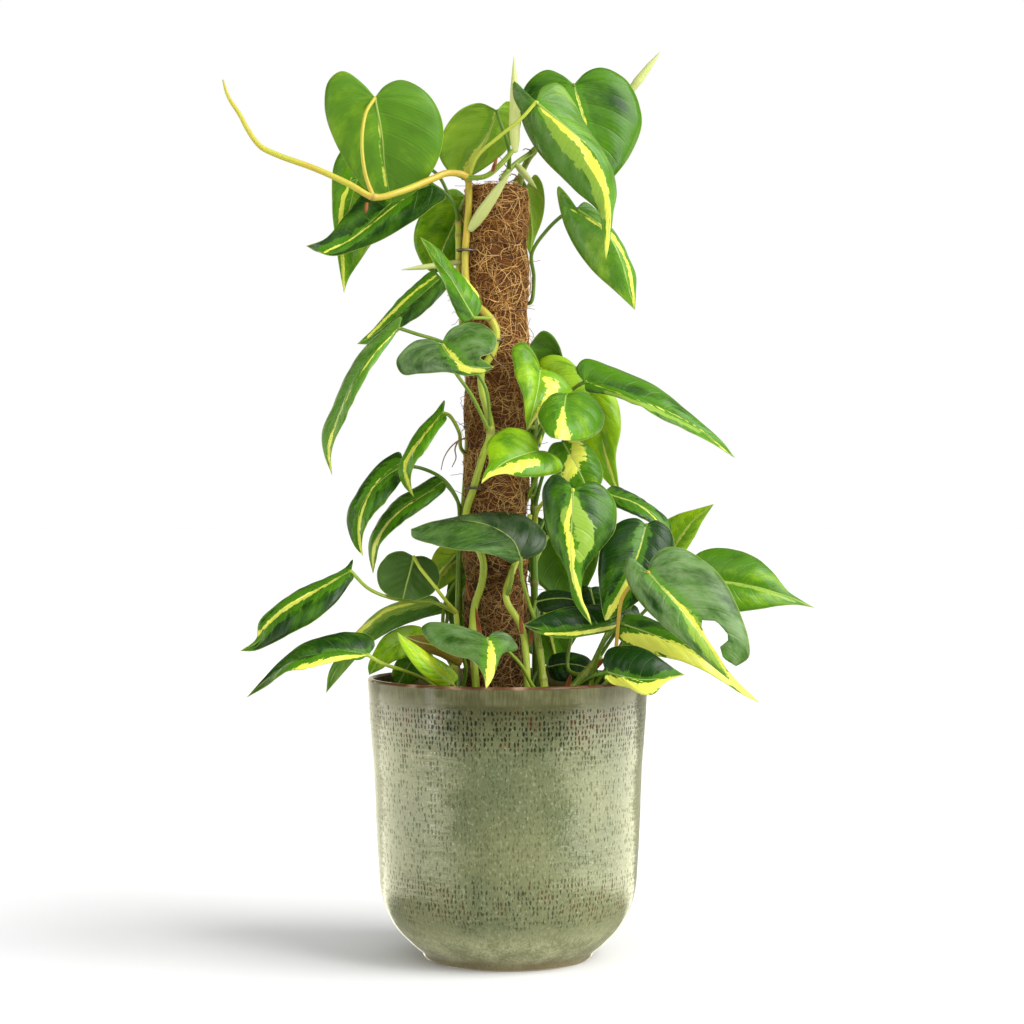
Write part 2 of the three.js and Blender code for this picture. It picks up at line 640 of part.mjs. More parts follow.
// The vines: each main stem from its root up, side shoots and pointed sheaths or rolled new leaves
const VINES = {
  front: {
    radius: 2.6,
    path: [[478, 712, -26], [473, 640, -26], hug(-34, 606), hug(-22, 583), hug(-20, 561), hug(-40, 535),
      hug(-52, 515), hug(-36, 488), hug(-20, 455), hug(-8, 431), hug(-22, 389), hug(-22, 372), hug(-4, 350),
      hug(0, 330), hug(-14, 314), hug(-40, 300), hug(-52, 280), hug(-54, 250), hug(-50, 228), hug(-46, 205),
      hug(-46, 190), [466, 176, -22], [448, 173, -26], [432, 179, -32], [399, 192, -46], [374, 197, -51],
      [349, 184, -53], [316, 169, -55], [275, 154, -56], [260, 146, -57], [248, 130, -57], [240, 115, -56],
      [228, 96, -56], [223, 80, -55]],
    shoots: [{ radius: 1.8, path: [[462, 178, -20], [486, 176, -26], [502, 163, -27], [515, 148, -26]] }],
    spikes: [
      { radius: 3.2, path: [[515, 152, -26], [514, 57, -28]] },
      { radius: 3.6, path: [[470, 230, -11], [511, 171, -36]] },
    ],
  },
  left: {
    radius: 2.4,
    path: [[456, 712, -4], [457, 660, 0], hug(-88, 600), hug(-104, 555), hug(-120, 505),
      hug(-130, 440), hug(-130, 380), hug(-116, 325), hug(-98, 285), hug(-90, 250), hug(-84, 214)],
    shoots: [],
    spikes: [{ radius: 2, path: [[461, 262, 4], [401, 270, -8]] }],
  },
  right: {
    radius: 2.6,
    path: [[534, 712, 12], hug(100, 660, 5), hug(92, 600), hug(84, 540), hug(88, 480), hug(96, 420),
      hug(118, 385), hug(134, 350), hug(136, 300), hug(132, 262), hug(138, 225), hug(148, 200, 5.5),
      [522, 173, 22], [534, 151, 20], [552, 136, 28], [600, 118, 32], [630, 92, 28]],
    shoots: [{ radius: 1.8, path: [[534, 151, 20], [514, 165, 8], [500, 180, 0]] }],
    spikes: [
      { radius: 2.6, path: [[628, 94, 28], [660, 52, 26]] },
      { radius: 2.2, path: [[516, 164, 9], [537, 189, -6]] },
    ],
  },
  centre: {
    radius: 2.4,
    path: [[528, 712, -34], [526, 654, -32], [521, 626, -28], [506, 598, -24], hug(24, 572), hug(44, 545),
      hug(62, 515)],
    shoots: [{ radius: 1.5, path: [[506, 598, -24], [511, 582, -26], [513, 566, -28]] }],
    spikes: [],
  },
  low_right: {
    radius: 2.6,
    path: [[550, 722, -28], [545, 692, -29], [542, 668, -28], [540, 648, -27]],
    shoots: [
      { radius: 2.2, path: [[550, 722, -28], [570, 690, -20], [590, 668, -16], [601, 656, -18]] },
      { radius: 2, path: [[550, 722, -28], [584, 700, -34], [606, 684, -38], [616, 662, -44]] },
    ],
    spikes: [],
  },
  low_left: {
    radius: 2.2,
    path: [[446, 716, -10], [452, 680, -12], [458, 640, -12], [456, 612, -13]],
    shoots: [{ radius: 1.6, path: [[446, 716, -10], [440, 690, -20], [430, 684, -26]] }],
    spikes: [],
  },
};

// The wires: rows of the picture, and angles round the pole
const PINS = [
  { name: 'pin_upper', row: 250, angle: -54 },
  { name: 'pin_middle', row: 340, angle: -2 },
  { name: 'pin_lower', row: 488, angle: -36 },
];

function solid(geometry) {
  const plain = geometry.clone();
  plain.deleteAttribute('normal');
  plain.deleteAttribute('uv');
  const merged = mergeVertices(plain, 1e-4);
  return new wasm.Manifold(new wasm.Mesh({
    numProp: 3,
    vertProperties: merged.attributes.position.array,
    triVerts: new Uint32Array(merged.index.array),
  }));
}

function meshGeometry(body) {
  const mesh = body.getMesh();
  const geometry = new THREE.BufferGeometry();
  geometry.setAttribute('position', new THREE.BufferAttribute(new Float32Array(mesh.vertProperties), 3));
  geometry.setIndex(new THREE.BufferAttribute(new Uint32Array(mesh.triVerts), 1));
  return geometry;
}

// The biggest piece of a solid, without loose scraps
function biggest(body) {
  return body.decompose().reduce((best, piece) => (piece.volume() > best.volume() ? piece : best));
}

function union(bodies) {
  return bodies.reduce((whole, body) => whole.add(body));
}

function cut(body, tools) {
  return tools.reduce((rest, tool) => rest.subtract(tool), body);
}

// A round rod of even thickness through points
function rod(points, radius, sides, stepLength) {
  const curve = smooth(points);
  const steps = Math.max(2, Math.round(curve.getLength() / stepLength));
  const section = new THREE.Shape();
  section.absarc(0, 0, radius, 0, Math.PI * 2);
  const outline = new THREE.Shape(section.getSpacedPoints(sides).slice(0, sides));
  return new THREE.ExtrudeGeometry(outline, { steps, bevelEnabled: false, extrudePath: curve });
}

// A straight pointed sheath from its root to its tip
function spike(points, radius) {
  const [root, tip] = points;
  const length = root.distanceTo(tip);
  const profile = [[0, 0], [0.7, 0], [1, 0.3], [0.75, 0.65], [0, 1]];
  const geometry = new THREE.LatheGeometry(
    profile.map(([across, along]) => new THREE.Vector2(across * radius, along * length)), STEM_SIDES);
  const direction = tip.clone().sub(root).normalize();
  geometry.applyQuaternion(new THREE.Quaternion().setFromUnitVectors(new THREE.Vector3(0, 1, 0), direction));
  return geometry.translate(...root.toArray());
}

// The outline of one side of a blade, from stalk to tip, in columns and rows of the picture
function sideOutline(leaf, number) {
  const flat = [leaf.rib[0], ...leaf.sides[number], leaf.rib[leaf.rib.length - 1]];
  return smooth(flat.map(([column, row]) => new THREE.Vector3(column, row, 0)));
}

// The share of a blade's outline that its lobes take, whose rows all fan out from the stalk's end
function fanShare(leaf) {
  const [base, tip] = [leaf.rib[0], leaf.rib[leaf.rib.length - 1]];
  const ahead = ({ x, y }) => (x - base[0]) * (tip[0] - base[0]) + (y - base[1]) * (tip[1] - base[1]);
  const lobes = leaf.sides.map((side, number) => {
    const points = sideOutline(leaf, number).getSpacedPoints(OUTLINE_SAMPLES);
    return points.findLastIndex((point) => ahead(point) <= 0) / OUTLINE_SAMPLES;
  });
  return THREE.MathUtils.clamp((lobes[0] + lobes[1]) / 2 + FAN_EXTRA, FAN_LEAST, FAN_MOST);
}

// Each row of one side of a blade: its point on the midrib and its point on the edge
function sideRows(leaf, number) {
  const rib = smooth(route(leaf.rib));
  const outline = sideOutline(leaf, number);
  const fan = fanShare(leaf);
  const rows = [];
  for (let i = 0; i <= BLADE_ROWS; i += 1) {
    const u = i / BLADE_ROWS;
    const share = u < fan ? 0 : ((u - fan) / (1 - fan)) ** FAN_POWER;
    const middle = rib.getPointAt(share);
    const { x, y } = outline.getPointAt(u);
    const behind = leaf.set[number] * Math.sin(Math.PI * u) ** SET_POWER * (1 - u ** 4);
    rows.push({ u, middle, edge: seen(x, y, middle.y + behind), along: rib.getTangentAt(share) });
  }
  return rows;
}

// The middle surface of a blade: a grid of points on each side of the midrib, swelling to its upper face
function bladeGrids(leaf) {
  const sides = [sideRows(leaf, 0), sideRows(leaf, 1)];
  const widest = Math.round(BLADE_ROWS * WIDEST_SHARE);
  const across = sides.map((rows) => rows[widest].edge.clone().sub(rows[widest].middle).normalize());
  const ahead = sides[0][widest].along;
  const normals = [
    new THREE.Vector3().crossVectors(ahead, across[0]).normalize(),
    new THREE.Vector3().crossVectors(across[1], ahead).normalize(),
  ];
  const upright = Math.sign(normals[0].clone().add(normals[1]).dot(leaf.face ?? TO_VIEW)) || 1;
  const swell = leaf.swell ?? SWELL;
  return sides.map((rows, number) => {
    const grid = rows.map(({ u, middle, edge }) => {
      const crest = Math.min(Math.abs(swell), middle.distanceTo(edge) * SWELL_MOST) * Math.sign(swell);
      const row = [];
      for (let k = 0; k <= BLADE_COLUMNS; k += 1) {
        const f = k / BLADE_COLUMNS;
        const lift = crest * 4 * f * (1 - f) * Math.sin(Math.PI * u) ** SWELL_POWER;
        row.push(middle.clone().lerp(edge, f).addScaledVector(normals[number], lift * upright));
      }
      return row;
    });
    return { grid, turned: (number === 0) === (upright > 0) };
  });
}

// A blade's middle surface as shared points and triangles, all facing its upper side
function bladeSheet(leaf) {
  const points = [];
  const known = new Map();
  const triangles = [];
  const number = (point) => {
    const key = point.toArray().map((v) => v.toFixed(3)).join();
    if (!known.has(key)) {
      known.set(key, points.length);
      points.push(point);
    }
    return known.get(key);
  };
  const add = (a, b, c) => {
    if (a !== b && b !== c && c !== a) {
      triangles.push([a, b, c]);
    }
  };
  for (const { grid, turned } of bladeGrids(leaf)) {
    const ids = grid.map((row) => row.map(number));
    for (let i = 1; i < BLADE_ROWS; i += 1) {
      for (let k = 0; k < BLADE_COLUMNS; k += 1) {
        const [a, b, c, d] = [ids[i][k], ids[i + 1][k], ids[i + 1][k + 1], ids[i][k + 1]];
        if (turned) {
          add(a, b, c);
          add(a, c, d);
        } else {
          add(a, c, b);
          add(a, d, c);
        }
      }
    }
  }
  return { points, triangles };
}

// A closed solid of even thickness round a sheet
function thicken({ points, triangles }, thickness) {
  const count = points.length;
  const normals = points.map(() => new THREE.Vector3());
  const edges = new Map();
  for (const [a, b, c] of triangles) {
    const face = new THREE.Vector3().crossVectors(
      points[b].clone().sub(points[a]), points[c].clone().sub(points[a]));
    [a, b, c].forEach((id) => normals[id].add(face));
    [[a, b], [b, c], [c, a]].forEach(([from, to]) => edges.set(`${from},${to}`, [from, to]));
  }
  const position = [];
  for (const offset of [thickness / 2, -thickness / 2]) {
    points.forEach((point, id) => {
      const normal = normals[id].clone().normalize();
      position.push(...point.clone().addScaledVector(normal, offset).toArray());
    });
  }
  const index = [];
  for (const [a, b, c] of triangles) {
    index.push(a, b, c, a + count, c + count, b + count);
  }
  for (const [from, to] of edges.values()) {
    if (!edges.has(`${to},${from}`)) {
      index.push(from, from + count, to + count, from, to + count, to);
    }
  }
  const geometry = new THREE.BufferGeometry();
  geometry.setAttribute('position', new THREE.Float32BufferAttribute(position, 3));
  geometry.setIndex(index);
  return geometry;
}

// The point of a vine's rods that is nearest to a place
function nearestOnVine(vine, place) {
  const paths = [vine.path, ...vine.shoots.map((shoot) => shoot.path)];
  const candidates = paths.flatMap((path) => smooth(route(path)).getSpacedPoints(VINE_SAMPLES));
  const nearer = (a, b) => (a.distanceTo(place) < b.distanceTo(place) ? a : b);
  return candidates.reduce(nearer);
}

// A stalk from inside its vine to just short of its blade
function stalkRoute(leaf) {
  const points = route([...leaf.stalk, leaf.rib[0]]);
  const root = nearestOnVine(VINES[leaf.vine], points[0]);
  points.splice(0, points[0].distanceTo(root) < ROOT_REACH ? 1 : 0, root);
  const end = points[points.length - 1];
  const back = points[points.length - 2].clone().sub(end).normalize();
  points[points.length - 1] = end.clone().addScaledVector(back, leaf.fused ? 0 : STALK_STOP);
  return points;
}

// A ring or body turned round the vertical axis from radii and heights
function turned(profile, sides) {
  const points = profile.map(([r, z]) => new THREE.Vector2(r, z));
  return new THREE.LatheGeometry(points, sides).rotateX(Math.PI / 2);
}

function pot() {
  const inside = POT_OUTSIDE.filter(([, z]) => z > FLOOR_THICKNESS * 2 && z < POT_HEIGHT)
    .map(([radius, z]) => [radius - WALL_THICKNESS, z]).reverse();
  const mouth = LIP_RADIUS - LIP_THICKNESS;
  const profile = [
    [0, 0], ...POT_OUTSIDE.slice(0, -1),
    [LIP_RADIUS, POT_HEIGHT - LIP_ROUNDING], [LIP_RADIUS - LIP_ROUNDING, POT_HEIGHT],
    [mouth + LIP_ROUNDING, POT_HEIGHT], [mouth, POT_HEIGHT - LIP_ROUNDING], ...inside,
    [INNER_FLOOR_RADIUS, FLOOR_THICKNESS], [0, FLOOR_THICKNESS],
  ];
  return turned(profile, POT_SIDES);
}

// The radius of the pot's inside at a height
function innerRadius(z) {
  const upper = Math.max(1, POT_OUTSIDE.findIndex(([, height]) => height >= z));
  const [[r0, z0], [r1, z1]] = [POT_OUTSIDE[upper - 1], POT_OUTSIDE[upper]];
  return r0 + (r1 - r0) * (z - z0) / (z1 - z0) - WALL_THICKNESS;
}

// How far the soil's top stands above or below its level, as a share of its relief
function soilWave(x, y) {
  return Math.sin(x * 0.13 + 1) * Math.cos(y * 0.11) + 0.6 * Math.sin(x * 0.31 - y * 0.27);
}

function soilBlock() {
  const foot = FLOOR_THICKNESS + GAP;
  const rim = SOIL_LEVEL - SOIL_RELIEF;
  const geometry = turned([
    [0, foot], [SOIL_FOOT_RADIUS, foot],
    ...SOIL_HEIGHTS.map((z) => [innerRadius(z) - SOIL_CLEARANCE, z]).reverse(),
    [innerRadius(SOIL_LEVEL) - SOIL_CLEARANCE, rim],
    ...SOIL_RINGS.map((radius) => [radius, SOIL_LEVEL]).reverse(), [0, SOIL_LEVEL],
  ], SOIL_SIDES);
  const { position } = geometry.attributes;
  for (let i = 0; i < position.count; i += 1) {
    const [x, y, z] = [position.getX(i), position.getY(i), position.getZ(i)];
    if (z > rim - GAP) {
      position.setZ(i, z + SOIL_RELIEF * soilWave(x, y));
    }
  }
  return geometry;
}

// The coir sleeve's radius, with bulges between its thread bindings
function sleeveRadius(z) {
  const phase = ((TOP_BINDING - z) / BINDING_PITCH) * Math.PI;
  return POLE_RADIUS + POLE_BULGE * (2 * Math.abs(Math.sin(phase)) ** 0.7 - 1);
}

function sleeve() {
  const profile = [];
  for (let i = 0; i <= POLE_RINGS; i += 1) {
    const z = POLE_FOOT + (POLE_TOP - POLE_FOOT) * i / POLE_RINGS;
    profile.push([sleeveRadius(z), z]);
  }
  const bore = CORE_RADIUS + GAP;
  profile.push([bore, POLE_TOP], [bore, POLE_FOOT], profile[0]);
  return turned(profile, POLE_SIDES).translate(POLE_X, POLE_Y, 0);
}

// A round post on the pole's axis
function post(radius, foot, top) {
  const geometry = new THREE.CylinderGeometry(radius, radius, top - foot, POLE_SIDES);
  return geometry.rotateX(Math.PI / 2).translate(POLE_X, POLE_Y, (foot + top) / 2);
}

// A bent wire over the vine, its two legs in the coir
function pin({ row, angle }, radius) {
  const crown = hug(angle, row, PIN_CLEARANCE);
  const inward = new THREE.Vector3(POLE_X - crown.x, POLE_Y - crown.y, 0).normalize();
  const sideways = new THREE.Vector3(-inward.y, inward.x, 0);
  const bend = [[-1, 1], [-1, 0.25], [-0.5, 0], [0.5, 0], [1, 0.25], [1, 1]];
  const points = bend.map(([across, deep]) => crown.clone()
    .addScaledVector(sideways, across * PIN_SPREAD)
    .addScaledVector(inward, deep * (PIN_CLEARANCE + PIN_DEPTH)));
  return rod(points, radius, STALK_SIDES, PIN_STEP);
}

const MATERIALS = {
  leaf: { color: 0x4d7a2e, roughness: 0.35 },
  pot: { color: 0x8e9a7c, roughness: 0.25 },
  soil: { color: 0x3a2a1e, roughness: 1 },
  coir: { color: 0x9a6a3c, roughness: 1 },
  wood: { color: 0xc9a878, roughness: 0.7 },
  wire: { color: 0x4a4a44, roughness: 0.5, metalness: 0.8 },
  stem: { color: 0x7f9a44, roughness: 0.45 },
};

const part = new THREE.Group();
function place(name, geometry, finish) {
  const material = new THREE.MeshStandardMaterial({ metalness: 0, ...finish });
  const mesh = new THREE.Mesh(geometry, material);
  mesh.name = name;
  part.add(mesh);
}

function bladeSolid(leaf, allowance) {
  return solid(thicken(bladeSheet(leaf), BLADE_THICKNESS + 2 * allowance));
}

// The stems and stalks of a vine, thicker by an allowance
function rodSolids(vine, stalked, allowance) {
  const stems = [{ path: vine.path, radius: vine.radius }, ...vine.shoots];
  return [
    ...stems.map(({ path, radius }) => solid(rod(route(path), radius + allowance, STEM_SIDES, STEM_STEP))),
    ...stalked.map((leaf) => solid(rod(stalkRoute(leaf), STALK_RADIUS + allowance, STALK_SIDES, STALK_STEP))),
  ];
}

for (const [name, leaf] of Object.entries(BLADES).filter(([, { fused }]) => !fused)) {
  place(`leaf_${name}`, thicken(bladeSheet(leaf), BLADE_THICKNESS), MATERIALS.leaf);
}

const rootHoles = [];
for (const [name, vine] of Object.entries(VINES)) {
  const own = Object.values(BLADES).filter((leaf) => leaf.vine === name);
  const grownOn = own.filter(({ fused }) => fused).map((leaf) => bladeSolid(leaf, 0));
  const clearances = own.filter(({ fused }) => !fused).map((leaf) => bladeSolid(leaf, GAP));
  const spikes = vine.spikes.map(({ path, radius }) => solid(spike(route(path), radius)));
  const whole = union([...rodSolids(vine, own, 0), ...spikes, ...grownOn]);
  place(`vine_${name}`, meshGeometry(biggest(cut(whole, clearances))), MATERIALS.stem);
  rootHoles.push(...rodSolids(vine, own, GAP));
}

// The soil's plain holes for the pole and the stems
const poleHoles = [
  post(CORE_RADIUS + GAP, CORE_FOOT - GAP, POLE_FOOT),
  post(POLE_RADIUS + POLE_BULGE + GAP, POLE_FOOT - GAP, POT_HEIGHT),
].map(solid);
const pinHoles = PINS.map((wire) => solid(pin(wire, PIN_RADIUS + GAP)));
place('pot', pot(), MATERIALS.pot);
place('soil', meshGeometry(biggest(cut(solid(soilBlock()), [...poleHoles, ...rootHoles]))), MATERIALS.soil);
place('coir_sleeve', meshGeometry(biggest(cut(solid(sleeve()), pinHoles))), MATERIALS.coir);
place('pole_core', post(CORE_RADIUS, CORE_FOOT, CORE_TOP), MATERIALS.wood);
for (const wire of PINS) {
  place(wire.name, pin(wire, PIN_RADIUS), MATERIALS.wire);
}

export default part;
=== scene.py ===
import math

import bpy
import numpy as np
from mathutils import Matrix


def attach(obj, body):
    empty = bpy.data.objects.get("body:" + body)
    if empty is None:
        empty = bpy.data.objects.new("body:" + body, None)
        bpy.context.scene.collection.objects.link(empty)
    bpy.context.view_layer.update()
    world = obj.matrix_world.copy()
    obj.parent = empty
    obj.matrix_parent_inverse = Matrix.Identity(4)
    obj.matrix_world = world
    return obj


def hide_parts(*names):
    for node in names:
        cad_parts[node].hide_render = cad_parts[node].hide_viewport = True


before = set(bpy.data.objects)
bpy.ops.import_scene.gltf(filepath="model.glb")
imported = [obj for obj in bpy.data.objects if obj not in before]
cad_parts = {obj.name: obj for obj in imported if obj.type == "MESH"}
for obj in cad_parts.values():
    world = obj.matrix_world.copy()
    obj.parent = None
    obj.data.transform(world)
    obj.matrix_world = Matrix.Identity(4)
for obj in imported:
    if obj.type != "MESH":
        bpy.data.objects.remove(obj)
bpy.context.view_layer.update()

MM = 0.001

# Bodies turned round the vertical leave this radius open at their axis
AXIS_GAP = 0.4

# How the plant is seen: a level view along +Y, in a square picture
PICTURE_MIDDLE = 512
AXIS_COLUMN = 508
PIXEL = 0.6065
VIEW_DISTANCE = 1400
VIEW_HEIGHT = 269
VIEW_X = (PICTURE_MIDDLE - AXIS_COLUMN) * PIXEL
SENSOR = 36

# Pot: the thickness of its floor, and its outer radius at rising heights above the rounded foot
POT_HEIGHT = 169
LIP_RADIUS = 85
FLOOR_THICKNESS = 7
POT_OUTSIDE = [
    (59.5, 9.7), (67.5, 18), (73.2, 27.6), (76.8, 38.5), (79.5, 71), (81.3, 114), (83.3, 140),
    (LIP_RADIUS, POT_HEIGHT),
]

# Soil
SOIL_LEVEL = 152
SOIL_RELIEF = 1.6

# Pole
POLE_X = -7
POLE_Y = 5
POLE_RADIUS = 18.4
POLE_BULGE = 1.1
POLE_TOP = 466
POLE_FOOT = 132
TOP_BINDING = 432
BINDING_PITCH = 41
CORE_RADIUS = 8.5

# Stems and stalks
STEM_CLEARANCE = 3.6
STALK_RADIUS = 1.25
VINE_SAMPLES = 400
ROOT_REACH = 7
STEM_STEP = 1.6
STEM_SIDES = 14
STALK_SIDES = 12
KNOT_GAP = 3
KNOT_LENGTH = 2.2
SHEATH_ROWS = 40
SHEATH_SIDES = 20

# Blades
BLADE_THICKNESS = 0.5
BLADE_ROWS = 56
BLADE_COLUMNS = 12
COLUMN_POWER = 1.3
FAN_EXTRA = 0.06
FAN_LEAST = 0.13
FAN_MOST = 0.42
FAN_POWER = 1.15
SWELL = 3
SWELL_MOST = 0.16
SWELL_POWER = 0.7
SET_POWER = 0.9
SIDE_VEINS = 9
FINE_VEINS = 45
VEIN_BEND = 0.09
QUILT_HEIGHT = 0.38
GROOVE_DEPTH = 0.16
GROOVE_WIDTH = 0.9
WAVE_SHARE = 0.035
WAVE_MOST = 0.7
MIDRIB_RADIUS = 0.85
MIDRIB_TAPER = 0.7
MIDRIB_ROWS = 40
MIDRIB_SIDES = 8
OUTLINE_STEPS = 60
# How far inside its stripes a place is, in pixels, where a blade has none
NO_STRIPE = -60.0

# Wires
PIN_RADIUS = 0.8
PIN_CLEARANCE = 8.2
PIN_SPREAD = 4.2
PIN_DEPTH = 6
PINS = {"pin_upper": (-54, 250), "pin_middle": (-2, 340), "pin_lower": (-36, 488)}

# First seeds of the random draws
SEEDS = dict(
    crumbs=11, fibres=20, fibre_bend=30, fibre_depth=40, threads=50, binding=60, hair=300, fuzz=700,
    blade=1000, wave=2000, far=4000, stalk=5000, root=5500, scrap=6000, torn=6100, curl=6200, sway=7000,
)

# Which way a blade's upper face looks
TO_VIEW = (0, -1, 0.6)
TO_SKY = (0, -0.4, 1)
AWAY = (0, 1, 0.4)

# A heart's outline along and across its midrib, as shares of length and half width
HEART = [(-0.1, 0.22), (-0.19, 0.56), (-0.08, 0.88), (0.2, 1), (0.48, 0.8), (0.76, 0.33)]

# The camera, level at the picture's middle
FOCAL = SENSOR * VIEW_DISTANCE / (2 * PICTURE_MIDDLE * PIXEL)
camera_data = bpy.data.cameras.new("camera")
camera_data.lens = FOCAL
camera_data.sensor_width = SENSOR
camera_data.clip_end = 100
camera = bpy.data.objects.new("camera", camera_data)
camera.location = (VIEW_X * MM, -VIEW_DISTANCE * MM, VIEW_HEIGHT * MM)
camera.rotation_euler = (math.pi / 2, 0, 0)
bpy.context.scene.collection.objects.link(camera)
bpy.context.scene.camera = camera

